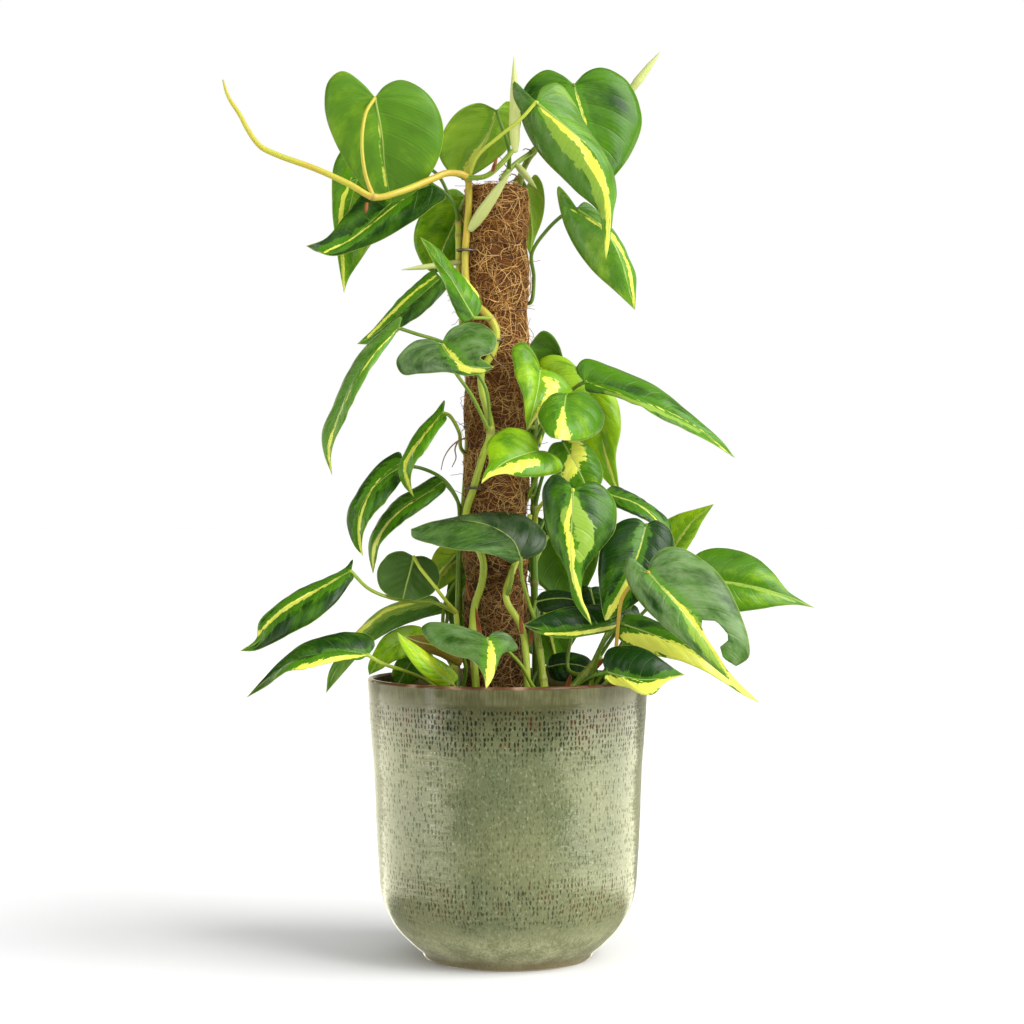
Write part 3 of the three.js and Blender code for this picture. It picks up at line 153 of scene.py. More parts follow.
# Each blade: its vine, the way its upper face looks, how far each side's edge stands behind (+) or before
# (-) the midrib, its midrib from stalk to tip (column,row,depth), the outline of its two sides
# (column,row) and its stalk's way from the vine. A point @angle,row lies on the pole's surface.
BLADES = {
    "crown_left": dict(
        vine="front", face=AWAY, swell=-2.5, set=(4, 4),
        rib="375,98,-42 382,135,-38 385,168,-30 392,203,-18",
        left="361,82 342,71 328,82 325,110 337,146 366,189",
        right="386,85 403,80 429,95 443,125 438,160 413,194",
        stalk="374,196,-50 365,172,-53 362,140,-53 366,113,-49",
    ),
    "crown_left_back": dict(
        vine="left", set=(-4, 8),
        rib="364,158,16 350,205,12 342,245,8 344,293,10",
        left="350,143 335,162 332,205 336,245 340,272",
        right="378,152 391,180 384,222 362,258 349,278",
        stalk="461,212,4 455,206,6 448,193,10 437,174,14 405,158,26 382,154,26",
    ),
    "crown_left_low": dict(
        vine="left", set=(8, -6),
        rib="432,184,-6 397,199,-6 372,221,-6 344,244,-8 320,252,-10 306,246,-14",
        left="424,170 398,165 370,185 346,214 326,238",
        right="446,197 433,207 413,222 387,237 357,250 331,256",
        stalk="461,222,-2 455,206,-4 446,194,-6",
    ),
    "crown_mid": dict(
        vine="right", face=AWAY, set=(4, 4),
        rib="497,111,0 487,138,6 475,161,14 465,180,20",
        left="480,103 460,110 444,130 439,154 450,173",
        right="508,101 520,112 519,132 505,152 485,168",
        stalk="511,170,4 509,149,-3 501,124,-4",
    ),
    "crown_right_back": dict(
        vine="right", set=(6, 6),
        rib="574,85,10 583,118,6 588,155,4 590,196,6",
        left="560,74 546,70 527,84 520,112 535,148 565,180",
        right="588,71 604,68 628,82 642,120 632,152 611,180",
        stalk="538,144,12 548,128,18 562,104,18",
    ),
    "crown_right_front": dict(
        vine="front", set=(12, 14),
        rib="536,102,-40 568,128,-42 596,156,-42 609,201,-38 606,261,-32",
        left="524,90 514,81 513,96 524,118 543,156 575,190 598,212 603,238",
        right="542,88 557,83 570,97 588,129 607,158 617,188 613,214 610,240",
        stalk="470,180,-20 477,157,-28 500,136,-36 522,118,-40",
    ),
    "right_hanging": dict(
        vine="right", set=(8, 16),
        rib="577,209,-20 596,222,-25 612,240,-28 623,266,-28 629,289,-26 635,310,-22",
        left="566,193 558,186 559,205 568,234 590,268 616,292",
        right="584,202 600,213 616,236 628,262 636,276 636,293",
        stalk="@114,302 @104,278,4 532,253,0 548,229,-3 566,213,-10",
    ),
    "pole_left_heart": dict(
        vine="left", set=(-4, 10),
        rib="466,197,26 453,226,28 441,252,27 433,274,24",
        left="455,189 433,198 417,222 414,243 423,265",
        right="478,200 485,222 478,246 455,265",
        stalk="460,236,8 458,215,18 462,203,23",
    ),
    "left_folded": dict(
        vine="front", swell=1, set=(-12, 10),
        rib="474,318,-30 462,298,-34 450,278,-36 436,260,-34 420,237,-30",
        left="463,322 452,304 443,281 431,258",
        right="480,312 480,297 469,282 454,267 438,248",
        stalk="491,316,-24 484,318,-28",
    ),
    "left_upper_droop": dict(
        vine="left", set=(16, -16),
        rib="441,278,2 418,299,0 391,322,-2 371,337,-1 357,344,0",
        left="433,271 414,285 389,311 373,329",
        right="448,285 435,302 412,321 386,336 369,344",
        stalk="461,296,6 452,287,4",
    ),
    "left_lower_droop": dict(
        vine="front", set=(16, -18),
        rib="399,328,-34 379,347,-38 361,371,-40 348,395,-38 338,418,-36 328,440,-34 332,475,-32",
        left="402,316 383,330 362,351 347,376 334,405 322,432 324,454",
        right="393,338 380,356 366,377 355,398 346,418 335,440 331,456",
        stalk="494,431,-22 486,389,-26 477,373,-26 462,352,-26 440,341,-30 417,334,-33",
    ),
    "left_butterfly": dict(
        vine="front", face=TO_SKY, set=(0, 6),
        rib="442,345,-44 450,357,-56 464,365,-66 480,368,-73 494,367,-78",
        left="428,339 412,343 397,362 402,374 425,373 446,372 466,376 484,373",
        right="450,330 466,323 487,326 497,340 493,352 480,357 486,362",
        stalk="487,434,-24 472,396,-32 456,373,-38 446,357,-41",
    ),
    "left_narrow": dict(
        vine="left", set=(8, -16),
        rib="443,413,-14 428,431,-20 412,455,-24 405,473,-24 407,485,-22 414,497,-20",
        left="445,400 434,413 418,429 405,452 398,470 403,485",
        right="447,418 438,432 425,450 414,466 411,479 412,490",
        stalk="@-112,455,2.4 @-88,447,2.4 459,432,-6 450,416,-9",
    ),
    "left_green": dict(
        vine="left", set=(10, -14),
        rib="403,466,-10 389,475,-15 373,489,-18 361,508,-20 358,531,-20 363,556,-18",
        left="400,452 389,456 373,470 358,491 347,512 348,530 355,547",
        right="407,472 399,484 386,501 371,518 364,532 362,545",
        stalk="@-100,536,2.6 @-82,522,3 457,499,-9 443,479,-7 421,468,-4",
    ),
    "left_dark": dict(
        vine="left", set=(16, -14),
        rib="443,482,0 424,495,-3 402,507,-5 385,525,-6 373,546,-5 373,574,-3",
        left="437,476 414,489 396,501 381,519 369,541 369,557",
        right="446,488 430,503 409,518 392,532 380,545 376,561",
        stalk="@-104,518,2.8 459,504,4 451,490,2",
    ),
    "low_wide": dict(
        vine="low_right", face=TO_SKY, swell=2, set=(-22, 18),
        rib="521,559,-42 513,541,-40 492,527,-40 465,521,-40 436,521,-39 411,529,-38",
        left="512,563 497,557 478,552 450,548 425,543 412,537",
        right="533,557 545,548 546,534 529,518 504,512 478,513 448,519",
        stalk="540,648,-27 538,630,-27 529,603,-31 522,577,-38",
    ),
    "low_round": dict(
        vine="low_left", face=AWAY, set=(6, 4),
        rib="414,557,-24 410,572,-28 406,586,-30 403,599,-30",
        left="402,551 386,556 377,572 380,588 391,597",
        right="423,556 436,564 440,578 434,592 418,600",
        stalk="456,612,-14 443,597,-28 433,584,-34 421,569,-34",
    ),
    "low_pale": dict(
        vine="low_left", face=AWAY, fused=True, set=(2, 2),
        rib="462,548,22 449,563,20 437,578,18 428,590,16",
        left="455,541 438,548 430,564 428,580",
        right="470,556 464,572 450,583 438,590",
        stalk="456,640,-12 445,634,-4 446,600,12 467,562,16",
    ),
    "far_left": dict(
        vine="low_left", set=(16, -16),
        rib="351,571,-24 330,583,-28 305,597,-30 282,611,-30 266,628,-28 258,642,-26 240,651,-24",
        left="353,559 345,568 320,582 299,591 276,606 259,622 256,639",
        right="354,577 349,585 337,602 317,619 290,634 270,645 254,651",
        stalk="455,607,-12 432,602,-18 410,601,-22 388,597,-26 368,588,-27",
    ),
    "low_left_front": dict(
        vine="low_left", set=(12, -20),
        rib="368,655,-42 345,652,-46 320,655,-48 297,661,-48 278,671,-46 262,684,-44 246,698,-42",
        left="375,645 370,636 349,632 322,636 299,646 279,662 263,679",
        right="360,660 345,660 325,664 305,669 287,672 267,686",
        stalk="436,692,-24 422,678,-30 402,670,-36 384,664,-40",
    ),
    "low_left_back": dict(
        vine="low_left", set=(12, -12),
        rib="441,604,14 414,608,12 390,617,10 367,633,10 347,656,10 334,674,10 326,693,10",
        left="434,596 410,600 385,608 361,627 341,651 329,672",
        right="446,611 424,618 400,627 376,640 354,661 339,678",
        stalk="457,640,-12 446,632,0 447,613,16",
    ),
    "rim_left": dict(
        vine="low_left", set=(8, -8),
        rib="424,640,-10 404,642,-12 388,651,-12 378,662,-12 369,675,-12",
        left="422,628 404,626 384,636 374,652 368,666",
        right="422,650 408,657 394,661 382,669",
        stalk="452,668,-10 440,648,-8",
    ),
    "lime_spear": dict(
        vine="low_left", set=(6, -4),
        rib="452,684,-50 434,669,-54 416,652,-55 397,632,-52",
        left="458,678 450,667 430,654 409,640",
        right="445,688 430,681 414,665 401,645",
        stalk="458,706,-34 458,694,-44",
    ),
    "low_olive": dict(
        vine="low_left", fused=True, set=(6, -2),
        rib="463,656,-36 441,647,-39 419,642,-39 404,636,-37",
        left="464,647 444,637 419,635",
        right="460,666 440,657 417,648",
        stalk="458,694,-22 466,672,-30",
    ),
    "pot_left_inner": dict(
        vine="low_left", fused=True, set=(2, -2),
        rib="418,653,16 408,667,12 398,684,10",
        left="408,649 395,663 392,677",
        right="428,654 426,672 410,684",
        stalk="440,700,0 436,670,8 428,652,13",
    ),
    "low_front": dict(
        vine="low_right", face=TO_SKY, set=(14, 6),
        rib="487,639,-60 491,652,-74 491,669,-86 486,689,-92",
        left="478,632 456,627 434,622 421,628 431,644 454,656 473,661 483,675",
        right="494,632 509,635 518,648 503,654 497,667 492,680",
        stalk="536,690,-36 520,664,-44 500,645,-54",
    ),
    "bright_top": dict(
        vine="right", set=(-4, 8),
        rib="540,369,-18 538,388,-28 533,410,-34 527,432,-36",
        left="534,354 524,343 513,347 515,372 523,397 525,416",
        right="552,373 566,382 573,392 567,402 550,410 536,419",
        stalk="528,425,-2 535,398,-6 538,378,-11",
    ),
    "bright_round": dict(
        vine="right", set=(-5, 6),
        rib="566,395,-32 564,410,-48 561,425,-60 558,439,-67",
        left="556,393 545,401 538,414 542,428 550,437",
        right="579,391 594,398 604,415 601,430 588,439 572,441",
        stalk="529,446,0 546,422,-8 561,402,-24",
    ),
    "bright_left": dict(
        vine="right", face=TO_SKY, set=(10, -8),
        rib="537,451,-52 520,456,-60 504,463,-66 492,473,-70 481,484,-74",
        left="537,440 526,431 508,428 494,434 486,447 489,461 484,474",
        right="548,452 560,460 562,470 545,476 522,477 505,474 491,477",
        stalk="529,496,-4 538,474,-22 542,458,-42",
    ),
    "bright_patch": dict(
        vine="right", set=(4, 4),
        rib="563,442,-28 572,458,-33 581,474,-35 590,495,-34",
        left="552,444 547,459 556,475 574,489",
        right="574,437 590,447 601,465 602,482",
        stalk="529,508,0 545,470,-8 558,450,-20",
    ),
    "right_back_hanging": dict(
        vine="right", set=(4, -4),
        rib="577,368,16 592,400,12 601,434,8 607,464,6 620,495,4",
        left="566,358 550,355 538,363 545,385 562,420 584,453 605,480",
        right="590,369 604,381 617,400 621,428 616,456 618,478",
        stalk="527,458,12 545,420,22 566,380,22",
    ),
    "right_long": dict(
        vine="right", set=(10, -22),
        rib="585,382,-18 610,388,-24 640,400,-27 672,415,-28 706,434,-27 735,458,-25",
        left="576,370 584,359 611,366 637,377 661,390 696,418 723,442",
        right="586,391 606,395 637,406 662,418 690,432 716,446",
        stalk="528,436,4 552,408,6 576,387,-4",
    ),
    "centre_heart": dict(
        vine="right", set=(8, 8),
        rib="573,490,-78 572,520,-84 571,552,-86 576,590,-84 592,625,-80",
        left="564,478 554,474 544,485 543,507 547,531 557,554 567,573 572,597 582,614",
        right="582,485 593,481 607,490 616,508 614,532 598,553 584,573 582,597 589,614",
        stalk="528,534,-2 538,510,-22 556,493,-56",
    ),
    "right_pointed": dict(
        vine="right", set=(14, -10),
        rib="604,493,-8 629,501,-12 649,511,-14 662,524,-14 668,544,-13",
        left="613,486 634,495 652,508 668,520 672,533",
        right="603,501 620,509 641,518 656,527 663,537",
        stalk="529,546,4 550,512,8 590,493,-4",
    ),
    "right_up_tip": dict(
        vine="low_right", set=(2, 2),
        rib="672,552,20 682,534,12 696,518,6 714,504,2",
        left="661,545 660,526 676,515 696,509",
        right="684,552 694,538 702,522",
        stalk="590,668,-6 622,606,10 658,562,18",
    ),
    "right_mid_heart": dict(
        vine="low_right", set=(2, 2),
        rib="646,525,-34 640,548,-40 628,575,-45 614,602,-48 605,621,-49",
        left="636,518 618,523 603,541 598,566 600,594 602,610",
        right="656,520 670,530 674,550 660,579 635,604 614,617",
        stalk="600,660,-14 628,612,-20 646,560,-27 649,538,-30",
    ),
    "right_bitten": dict(
        vine="low_right", set=(0, 4),
        rib="648,572,-68 671,598,-76 693,623,-80 712,652,-80 729,680,-77",
        left="640,565 630,557 624,567 628,584 641,604 660,623 683,642 707,662",
        right="650,561 663,548 682,548 703,560 722,578 738,608 748,636 749,657 735,668",
        stalk="616,664,-44 618,627,-48 622,599,-52 634,582,-58",
    ),
    "far_right": dict(
        vine="low_right", set=(8, -6),
        rib="692,578,-10 720,581,-14 752,586,-16 786,596,-14 815,608,-12",
        left="688,566 697,554 714,548 735,550 755,557 772,571 788,591 803,601",
        right="684,590 693,605 715,613 738,612 760,609 779,606 797,605",
        stalk="600,676,-4 640,616,-2 674,588,-8",
    ),
    "right_low_long": dict(
        vine="low_right", set=(8, -10),
        rib="622,624,-42 648,633,-47 678,645,-50 706,661,-51 732,681,-50 760,703,-48",
        left="624,615 641,615 663,624 689,638 715,657 739,683",
        right="615,632 627,646 650,655 679,661 702,670 728,685 745,696",
        stalk="590,690,-28 600,650,-34 612,632,-38",
    ),
    "right_rim": dict(
        vine="low_right", face=TO_SKY, set=(8, -8),
        rib="607,672,-66 625,677,-76 645,680,-80 665,678,-78 685,675,-73",
        left="603,662 608,650 628,645 648,650 664,661 675,669",
        right="604,678 612,684 628,688 643,695 654,694 665,683 677,677",
        stalk="560,700,-34 576,688,-46 594,676,-60",
    ),
    "centre_low": dict(
        vine="low_right", face=TO_SKY, set=(8, -10),
        rib="640,616,-20 612,622,-28 585,629,-33 555,632,-37 523,625,-39",
        left="636,606 611,603 585,605 560,609 540,616",
        right="638,625 618,631 590,635 562,638 540,634",
        stalk="580,700,-14 620,650,-14 643,627,-15",
    ),
    "inner_dark": dict(
        vine="low_right", fused=True, set=(4, 4),
        rib="590,588,6 594,602,4 598,616,4 603,630,6",
        left="581,586 579,604 589,622",
        right="600,587 610,602 610,620",
        stalk="568,668,-4 576,620,4 586,596,8",
    ),
    "inner_gloss": dict(
        vine="low_right", face=TO_SKY, fused=True, set=(6, -6),
        rib="536,602,-10 552,599,-14 569,599,-16 584,604,-17",
        left="541,593 556,590 573,593",
        right="540,611 556,612 573,608",
        stalk="543,680,-30 536,640,-20 534,614,-12",
    ),
    "inner_low": dict(
        vine="low_right", face=TO_SKY, set=(6, -6),
        rib="548,667,8 566,664,6 585,667,4 603,677,6",
        left="551,656 567,652 587,657",
        right="552,679 568,682 588,679",
        stalk="545,700,-14 532,686,2 538,671,7",
    ),
}

FAR_BLADES = {
    "back_crown": dict(
        vine="right", widths=(15, 18),
        rib="526,188,36 530,210,40 532,232,42 530,256,40",
        stalk="520,176,30 522,180,34",
    ),
    "back_upper": dict(
        vine="left", widths=(24, 24),
        rib="488,288,38 486,318,50 486,350,56 488,382,54",
        stalk="462,322,20 466,300,30 480,290,34",
    ),
    "back_mid": dict(
        vine="right", widths=(36, 36),
        rib="526,352,44 530,384,58 536,416,62 540,448,60",
        stalk="527,360,30 528,352,38",
    ),
    "back_low": dict(
        vine="left", widths=(27, 27),
        rib="494,424,42 492,456,54 494,490,58 497,522,56",
        stalk="468,462,24 474,436,34 488,426,37",
    ),
    "back_right": dict(
        vine="right", widths=(40, 40),
        rib="556,528,34 568,560,44 574,592,50 576,620,50",
        stalk="530,580,12 540,552,24 551,532,31",
    ),
    "back_left_low": dict(
        vine="left", widths=(26, 26),
        rib="474,580,44 470,610,54 468,640,58 466,672,58",
        stalk="457,640,2 458,606,26 468,584,38",
    ),
    "back_centre_low": dict(
        vine="right", widths=(38, 40),
        rib="540,602,52 548,630,60 554,654,64 558,676,64",
        stalk="533,700,14 534,650,34 539,612,45",
    ),
}

VINES = {
    "front": dict(
        radius=2.6,
        path="478,712,-26 473,640,-26 @-34,606 @-22,583 @-20,561 @-40,535 @-52,515 @-36,488 @-20,455 "
             "@-8,431 @-22,389 @-22,372 @-4,350 @0,330 @-14,314 @-40,300 @-52,280 @-54,250 @-50,228 "
             "@-46,205 @-46,190 466,176,-22 448,173,-26 432,179,-32 399,192,-46 374,197,-51 "
             "349,184,-53 316,169,-55 275,154,-56 260,146,-57 248,130,-57 240,115,-56 228,96,-56 "
             "223,80,-55",
        shoots=[
            (1.8, "462,178,-20 486,176,-26 502,163,-27 515,148,-26"),
        ],
        spikes=[
            (3.2, "515,152,-26 514,57,-28"),
            (3.6, "470,230,-11 511,171,-36"),
        ],
    ),
    "left": dict(
        radius=2.4,
        path="456,712,-4 457,660,0 @-88,600 @-104,555 @-120,505 @-130,440 @-130,380 @-116,325 @-98,285 "
             "@-90,250 @-84,214",
        spikes=[
            (2, "461,262,4 401,270,-8"),
        ],
    ),
    "right": dict(
        radius=2.6,
        path="534,712,12 @100,660,5 @92,600 @84,540 @88,480 @96,420 @118,385 @134,350 @136,300 @132,262 "
             "@138,225 @148,200,5.5 522,173,22 534,151,20 552,136,28 600,118,32 630,92,28",
        shoots=[
            (1.8, "534,151,20 514,165,8 500,180,0"),
        ],
        spikes=[
            (2.6, "628,94,28 660,52,26"),
            (2.2, "516,164,9 537,189,-6"),
        ],
    ),
    "centre": dict(
        radius=2.4,
        path="528,712,-34 526,654,-32 521,626,-28 506,598,-24 @24,572 @44,545 @62,515",
        shoots=[
            (1.5, "506,598,-24 511,582,-26 513,566,-28"),
        ],
    ),
    "low_right": dict(
        radius=2.6,
        path="550,722,-28 545,692,-29 542,668,-28 540,648,-27",
        shoots=[
            (2.2, "550,722,-28 570,690,-20 590,668,-16 601,656,-18"),
            (2, "550,722,-28 584,700,-34 606,684,-38 616,662,-44"),
        ],
    ),
    "low_left": dict(
        radius=2.2,
        path="446,716,-10 452,680,-12 458,640,-12 456,612,-13",
        shoots=[
            (1.6, "446,716,-10 440,690,-20 430,684,-26"),
        ],
    ),
}

# Looks of each blade: tone from dark (0) to fresh green (1) and beyond to lime; how much lighter its left
# and right halves are; the value from a painted grey sheen (-1), standing in for a reflection, to a brown
# tint (1); the tone of its stalk; and its yellow and light stripes, each a way of points (column,row,half
# width), where semicolons part the stripes. Holes are the outline of a notch (column,row).
LOOKS = {
    "crown_left": dict(tone=0.46, halves=(0.1, -0.1), stalk=0.8,
                       yellow="374,98,0.8 379,122,1.5 380,148,1.2 386,186,1.5"),
    "crown_left_back": dict(tone=0.62, yellow="352,176,1 343,200,2.6 340,226,2.8 342,255,2.2 344,292,1.8"),
    "crown_left_low": dict(tone=0.1, yellow="405,198,0.8 375,222,1 350,240,1.2 325,252,1.6"),
    "crown_mid": dict(tone=0.92, brown_or_painted_sheen=-0.3, yellow="495,112,0.8 488,135,1.4 478,152,4.5 468,168,6",
                      light="490,130,1 480,150,7 469,168,9"),
    "crown_right_back": dict(tone=0.38, yellow="574,84,0.6 579,103,1.7 585,120,1.3 590,132,0.4"),
    "crown_right_front": dict(tone=0.4, brown_or_painted_sheen=-0.35, halves=(-0.04, 0.06), stalk=0.62,
                              yellow="536,103,1.2 552,118,3 573,137,5 592,162,5.5 606,191,4 "
                                     "608,225,3 606,258,2.4",
                              light="540,108,2 560,135,7 582,160,9 598,185,7 603,215,4"),
    "right_hanging": dict(tone=0.58, brown_or_painted_sheen=-0.3, halves=(0.04, -0.05),
                          yellow="570,209,0.8 590,220,1.7 608,232,2.2 622,252,1.8 630,275,1.8 634,306,1.6"),
    "pole_left_heart": dict(tone=0.56, halves=(0.08, -0.08), yellow="465,200,0.6 452,228,0.9 440,256,0.8"),
    # left_folded's yellow stripe along its fold is a painted highlight.
    "left_folded": dict(tone=0.38, halves=(-0.1, 0.1), yellow="462,274,1.2 472,286,2 479,297,1.2"),
    "left_upper_droop": dict(tone=0.3, brown_or_painted_sheen=-0.2, halves=(0.06, -0.08),
                             yellow="436,276,1.2 412,294,1.6 388,317,1.8 368,337,1.2"),
    "left_lower_droop": dict(tone=0.48, brown_or_painted_sheen=-0.5,
                             yellow="400,326,0.8 372,358,1 350,392,1 336,424,1.4 329,450,2.2 332,473,1.4"),
    "left_butterfly": dict(tone=0.18, brown_or_painted_sheen=-0.55, stalk=0.25, halves=(0.0, 0.05),
                           yellow="443,344,1 455,358,3.4 465,369,3.8 484,371,2.2"),
    "left_narrow": dict(tone=0.45,
                        yellow="440,416,0.8 425,434,1.6 412,452,2.4 405,467,2.2 409,484,1.8 414,496,1.2"),
    "left_green": dict(tone=0.14, yellow="400,463,0.6 378,481,0.9 363,510,1.4 359,531,2 362,554,1.6"),
    "left_dark": dict(tone=0.24, yellow="440,486,0.5 402,510,1 384,529,1.7 374,550,2.2 373,570,1.2"),
    "low_wide": dict(tone=0.04, brown_or_painted_sheen=-0.35, halves=(0.1, -0.08)),
    "low_round": dict(tone=-0.14, brown_or_painted_sheen=-0.12, stalk=0.6),
    # low_pale's high tone is partly painted light on a blade that lies in shade.
    "low_pale": dict(tone=1.1, yellow="457,560,1 447,568,3 437,578,4",
                     light="462,552,3 450,566,6 436,580,5"),
    "far_left": dict(tone=0.06, stalk=0.35, halves=(0.04, -0.04),
                     yellow="351,571,0.5 325,586,1.5 305,597,2.2 282,611,2.6 265,627,2.2 248,646,1.2"),
    "low_left_front": dict(tone=0.1, halves=(-0.02, 0.1), stalk=0.5,
                           yellow="368,655,0.6 345,658,3 320,664,5 298,671,4 280,679,2"),
    "low_left_back": dict(tone=0.5, brown_or_painted_sheen=-0.3, yellow="415,603,1.5 385,612,2.2 355,636,2.4",
                          light="430,602,4 400,608,6 370,622,5 350,650,4"),
    "rim_left": dict(tone=0.75, light="410,630,5 390,640,4"),
    "lime_spear": dict(tone=0.95, stalk=0.6),
    "low_olive": dict(tone=0.26, brown_or_painted_sheen=0.9),
    "pot_left_inner": dict(tone=0.42),
    "low_front": dict(tone=0.28, brown_or_painted_sheen=-0.5, yellow="490,642,2 492,655,5 490,672,5 487,686,2.4"),
    "bright_top": dict(tone=0.72, halves=(0.0, 0.1), yellow="545,378,3 553,391,9 545,405,6.5 531,427,3.4"),
    "bright_round": dict(tone=0.38, yellow="563,408,1.5 562,424,6 563,438,10"),
    "bright_left": dict(tone=0.66, yellow="536,462,5 515,468,7.5 497,474,6.5 482,483,3"),
    "bright_patch": dict(tone=0.48, yellow="574,440,6 578,452,9 572,466,9 564,480,6"),
    "right_back_hanging": dict(tone=0.95, yellow="602,440,0.8 610,468,1.6 618,492,1.4"),
    "right_long": dict(tone=0.28, halves=(0.06, -0.08),
                       yellow="588,383,0.5 640,401,0.8 690,423,0.9 730,455,1",
                       light="605,392,1.5 650,408,2 700,432,1.5"),
    "centre_heart": dict(tone=0.16, halves=(-0.04, 0.05), stalk=0.6,
                         yellow="573,486,1.2 571,505,2 567,526,4 571,548,4.5 574,578,3.2 584,605,2.2 "
                                "591,622,1.4",
                         light="575,498,2 578,512,5 583,528,9 585,543,8 579,558,4; "
                               "568,506,1 563,516,3 565,526,2"),
    "right_pointed": dict(tone=0.1, halves=(0.05, -0.05), yellow="604,493,0.5 640,506,0.8 662,526,0.8"),
    "right_up_tip": dict(tone=0.86, yellow="676,545,0.6 690,524,0.9"),
    "right_mid_heart": dict(tone=-0.06, yellow="645,528,0.6 640,548,1 630,575,1.8 616,602,4.5 607,618,3"),
    "right_bitten": dict(tone=0.3, brown_or_painted_sheen=-0.6, halves=(0.0, -0.04), stalk=1.0,
                         yellow="649,573,0.8 670,595,2 690,617,3.2 705,637,3 720,660,2.6 728,676,1.2",
                         light="686,612,4 697,630,8 708,648,7 720,664,4",
                         holes="698,620 717,621 731,638 720,647 723,658 736,666 754,663 754,692 733,692 "
                               "726,668 716,652 706,637"),
    "far_right": dict(tone=0.5, halves=(-0.06, 0.08),
                      light="700,579,0.8 730,583,1.4 760,590,1.4 795,602,1"),
    "right_low_long": dict(tone=0.22,
                           yellow="624,636,5 650,645,11 680,653,12 708,667,10 735,684,6 757,701,2.5"),
    "right_rim": dict(tone=-0.28, yellow="607,677,2.5 625,685,7.5 645,690,7.5 662,683,4.5 682,676,2"),
    "centre_low": dict(tone=-0.04, yellow="630,622,1 600,630,2.4 570,634,2.4 545,634,1.4"),
    "inner_dark": dict(tone=0.05),
    # inner_gloss's very low tone is painted shade for the dark inside of the plant.
    "inner_gloss": dict(tone=-0.3, brown_or_painted_sheen=-0.1),
    "inner_low": dict(tone=0.0),
}


# Curves, places and pieces

CURVE_SAMPLES = 200


class Smooth:
    """A smooth curve through points, followed by shares of its length."""

    def __init__(self, points):
        p = np.asarray(points, float)
        ends = np.vstack([2 * p[0] - p[1], p, 2 * p[-1] - p[-2]])
        x0, x1, x2, x3 = ends[:-3], ends[1:-2], ends[2:-1], ends[3:]
        d0, d1, d2 = (np.sum((b - a) ** 2, axis=1, keepdims=True) ** 0.25
                      for a, b in ((x0, x1), (x1, x2), (x2, x3)))
        t1 = ((x1 - x0) / d0 - (x2 - x0) / (d0 + d1) + (x2 - x1) / d1) * d1
        t2 = ((x2 - x1) / d1 - (x3 - x1) / (d1 + d2) + (x3 - x2) / d2) * d1
        self.terms = (x1, t1, -3 * x1 + 3 * x2 - 2 * t1 - t2, 2 * x1 - 2 * x2 + t1 + t2)
        self.knots = np.linspace(0, 1, CURVE_SAMPLES + 1)
        self.lengths = way_along(self.place(self.knots))
        self.length = self.lengths[-1]

    def place(self, knot):
        count = len(self.terms[0])
        x = np.clip(knot, 0, 1) * count
        i = np.minimum(x.astype(int), count - 1)
        w = (x - i)[:, None]
        c0, c1, c2, c3 = (term[i] for term in self.terms)
        return c0 + w * (c1 + w * (c2 + w * c3))

    def at(self, share):
        return self.place(np.interp(np.atleast_1d(share) * self.length, self.lengths, self.knots))

    def spaced(self, step):
        return self.at(np.linspace(0, 1, max(3, round(self.length / step)) + 1))


def unit(vectors):
    length = np.linalg.norm(vectors, axis=-1, keepdims=True)
    return vectors / np.maximum(length, 1e-9)


def seen(column, row, depth):
    """The point that is seen at a column and row of the picture, at the depth y."""
    scale = PIXEL * (VIEW_DISTANCE + depth) / VIEW_DISTANCE
    x = VIEW_X + (column - PICTURE_MIDDLE) * scale
    z = VIEW_HEIGHT - (row - PICTURE_MIDDLE) * scale
    return np.stack(np.broadcast_arrays(x, depth, z), axis=-1).astype(float)


def pictured(places):
    """The columns and rows where places are seen."""
    scale = PIXEL * (VIEW_DISTANCE + places[..., 1]) / VIEW_DISTANCE
    column = PICTURE_MIDDLE + (places[..., 0] - VIEW_X) / scale
    row = PICTURE_MIDDLE - (places[..., 2] - VIEW_HEIGHT) / scale
    return np.stack([column, row], axis=-1)


def hug(angle, row, clearance=STEM_CLEARANCE):
    """A point on the pole, at an angle from its front towards +X and a row of the picture."""
    turn = math.radians(angle)
    reach = POLE_RADIUS + POLE_BULGE + clearance
    x = POLE_X + reach * math.sin(turn)
    y = POLE_Y - reach * math.cos(turn)
    return np.array([x, y, seen(PICTURE_MIDDLE, row, y)[2]])


def numbers(text):
    return np.array([[float(v) for v in word.split(",")] for word in text.split()])


def route(text):
    """The places of a way written in the tables."""
    places = []
    for word in text.split():
        values = [float(v) for v in word.lstrip("@").split(",")]
        places.append(hug(*values) if word.startswith("@") else seen(*values))
    return np.array(places)


def smooth_step(value, low, high):
    share = np.clip((value - low) / (high - low), 0, 1)
    return share * share * (3 - 2 * share)


def noise_rows(seed, count, waves, positions):
    """Smooth seeded wobble along positions 0..1: one row of values for each of count draws."""
    draw = np.random.default_rng(seed)
    phases = draw.uniform(0, math.tau, (count, waves, 1))
    sizes = draw.uniform(-1, 1, (count, waves, 1)) / np.arange(1, waves + 1)[None, :, None]
    turns = np.arange(1, waves + 1)[None, :, None] * math.tau * np.asarray(positions)[None, None, :]
    return np.sum(sizes * np.sin(turns + phases), axis=1)


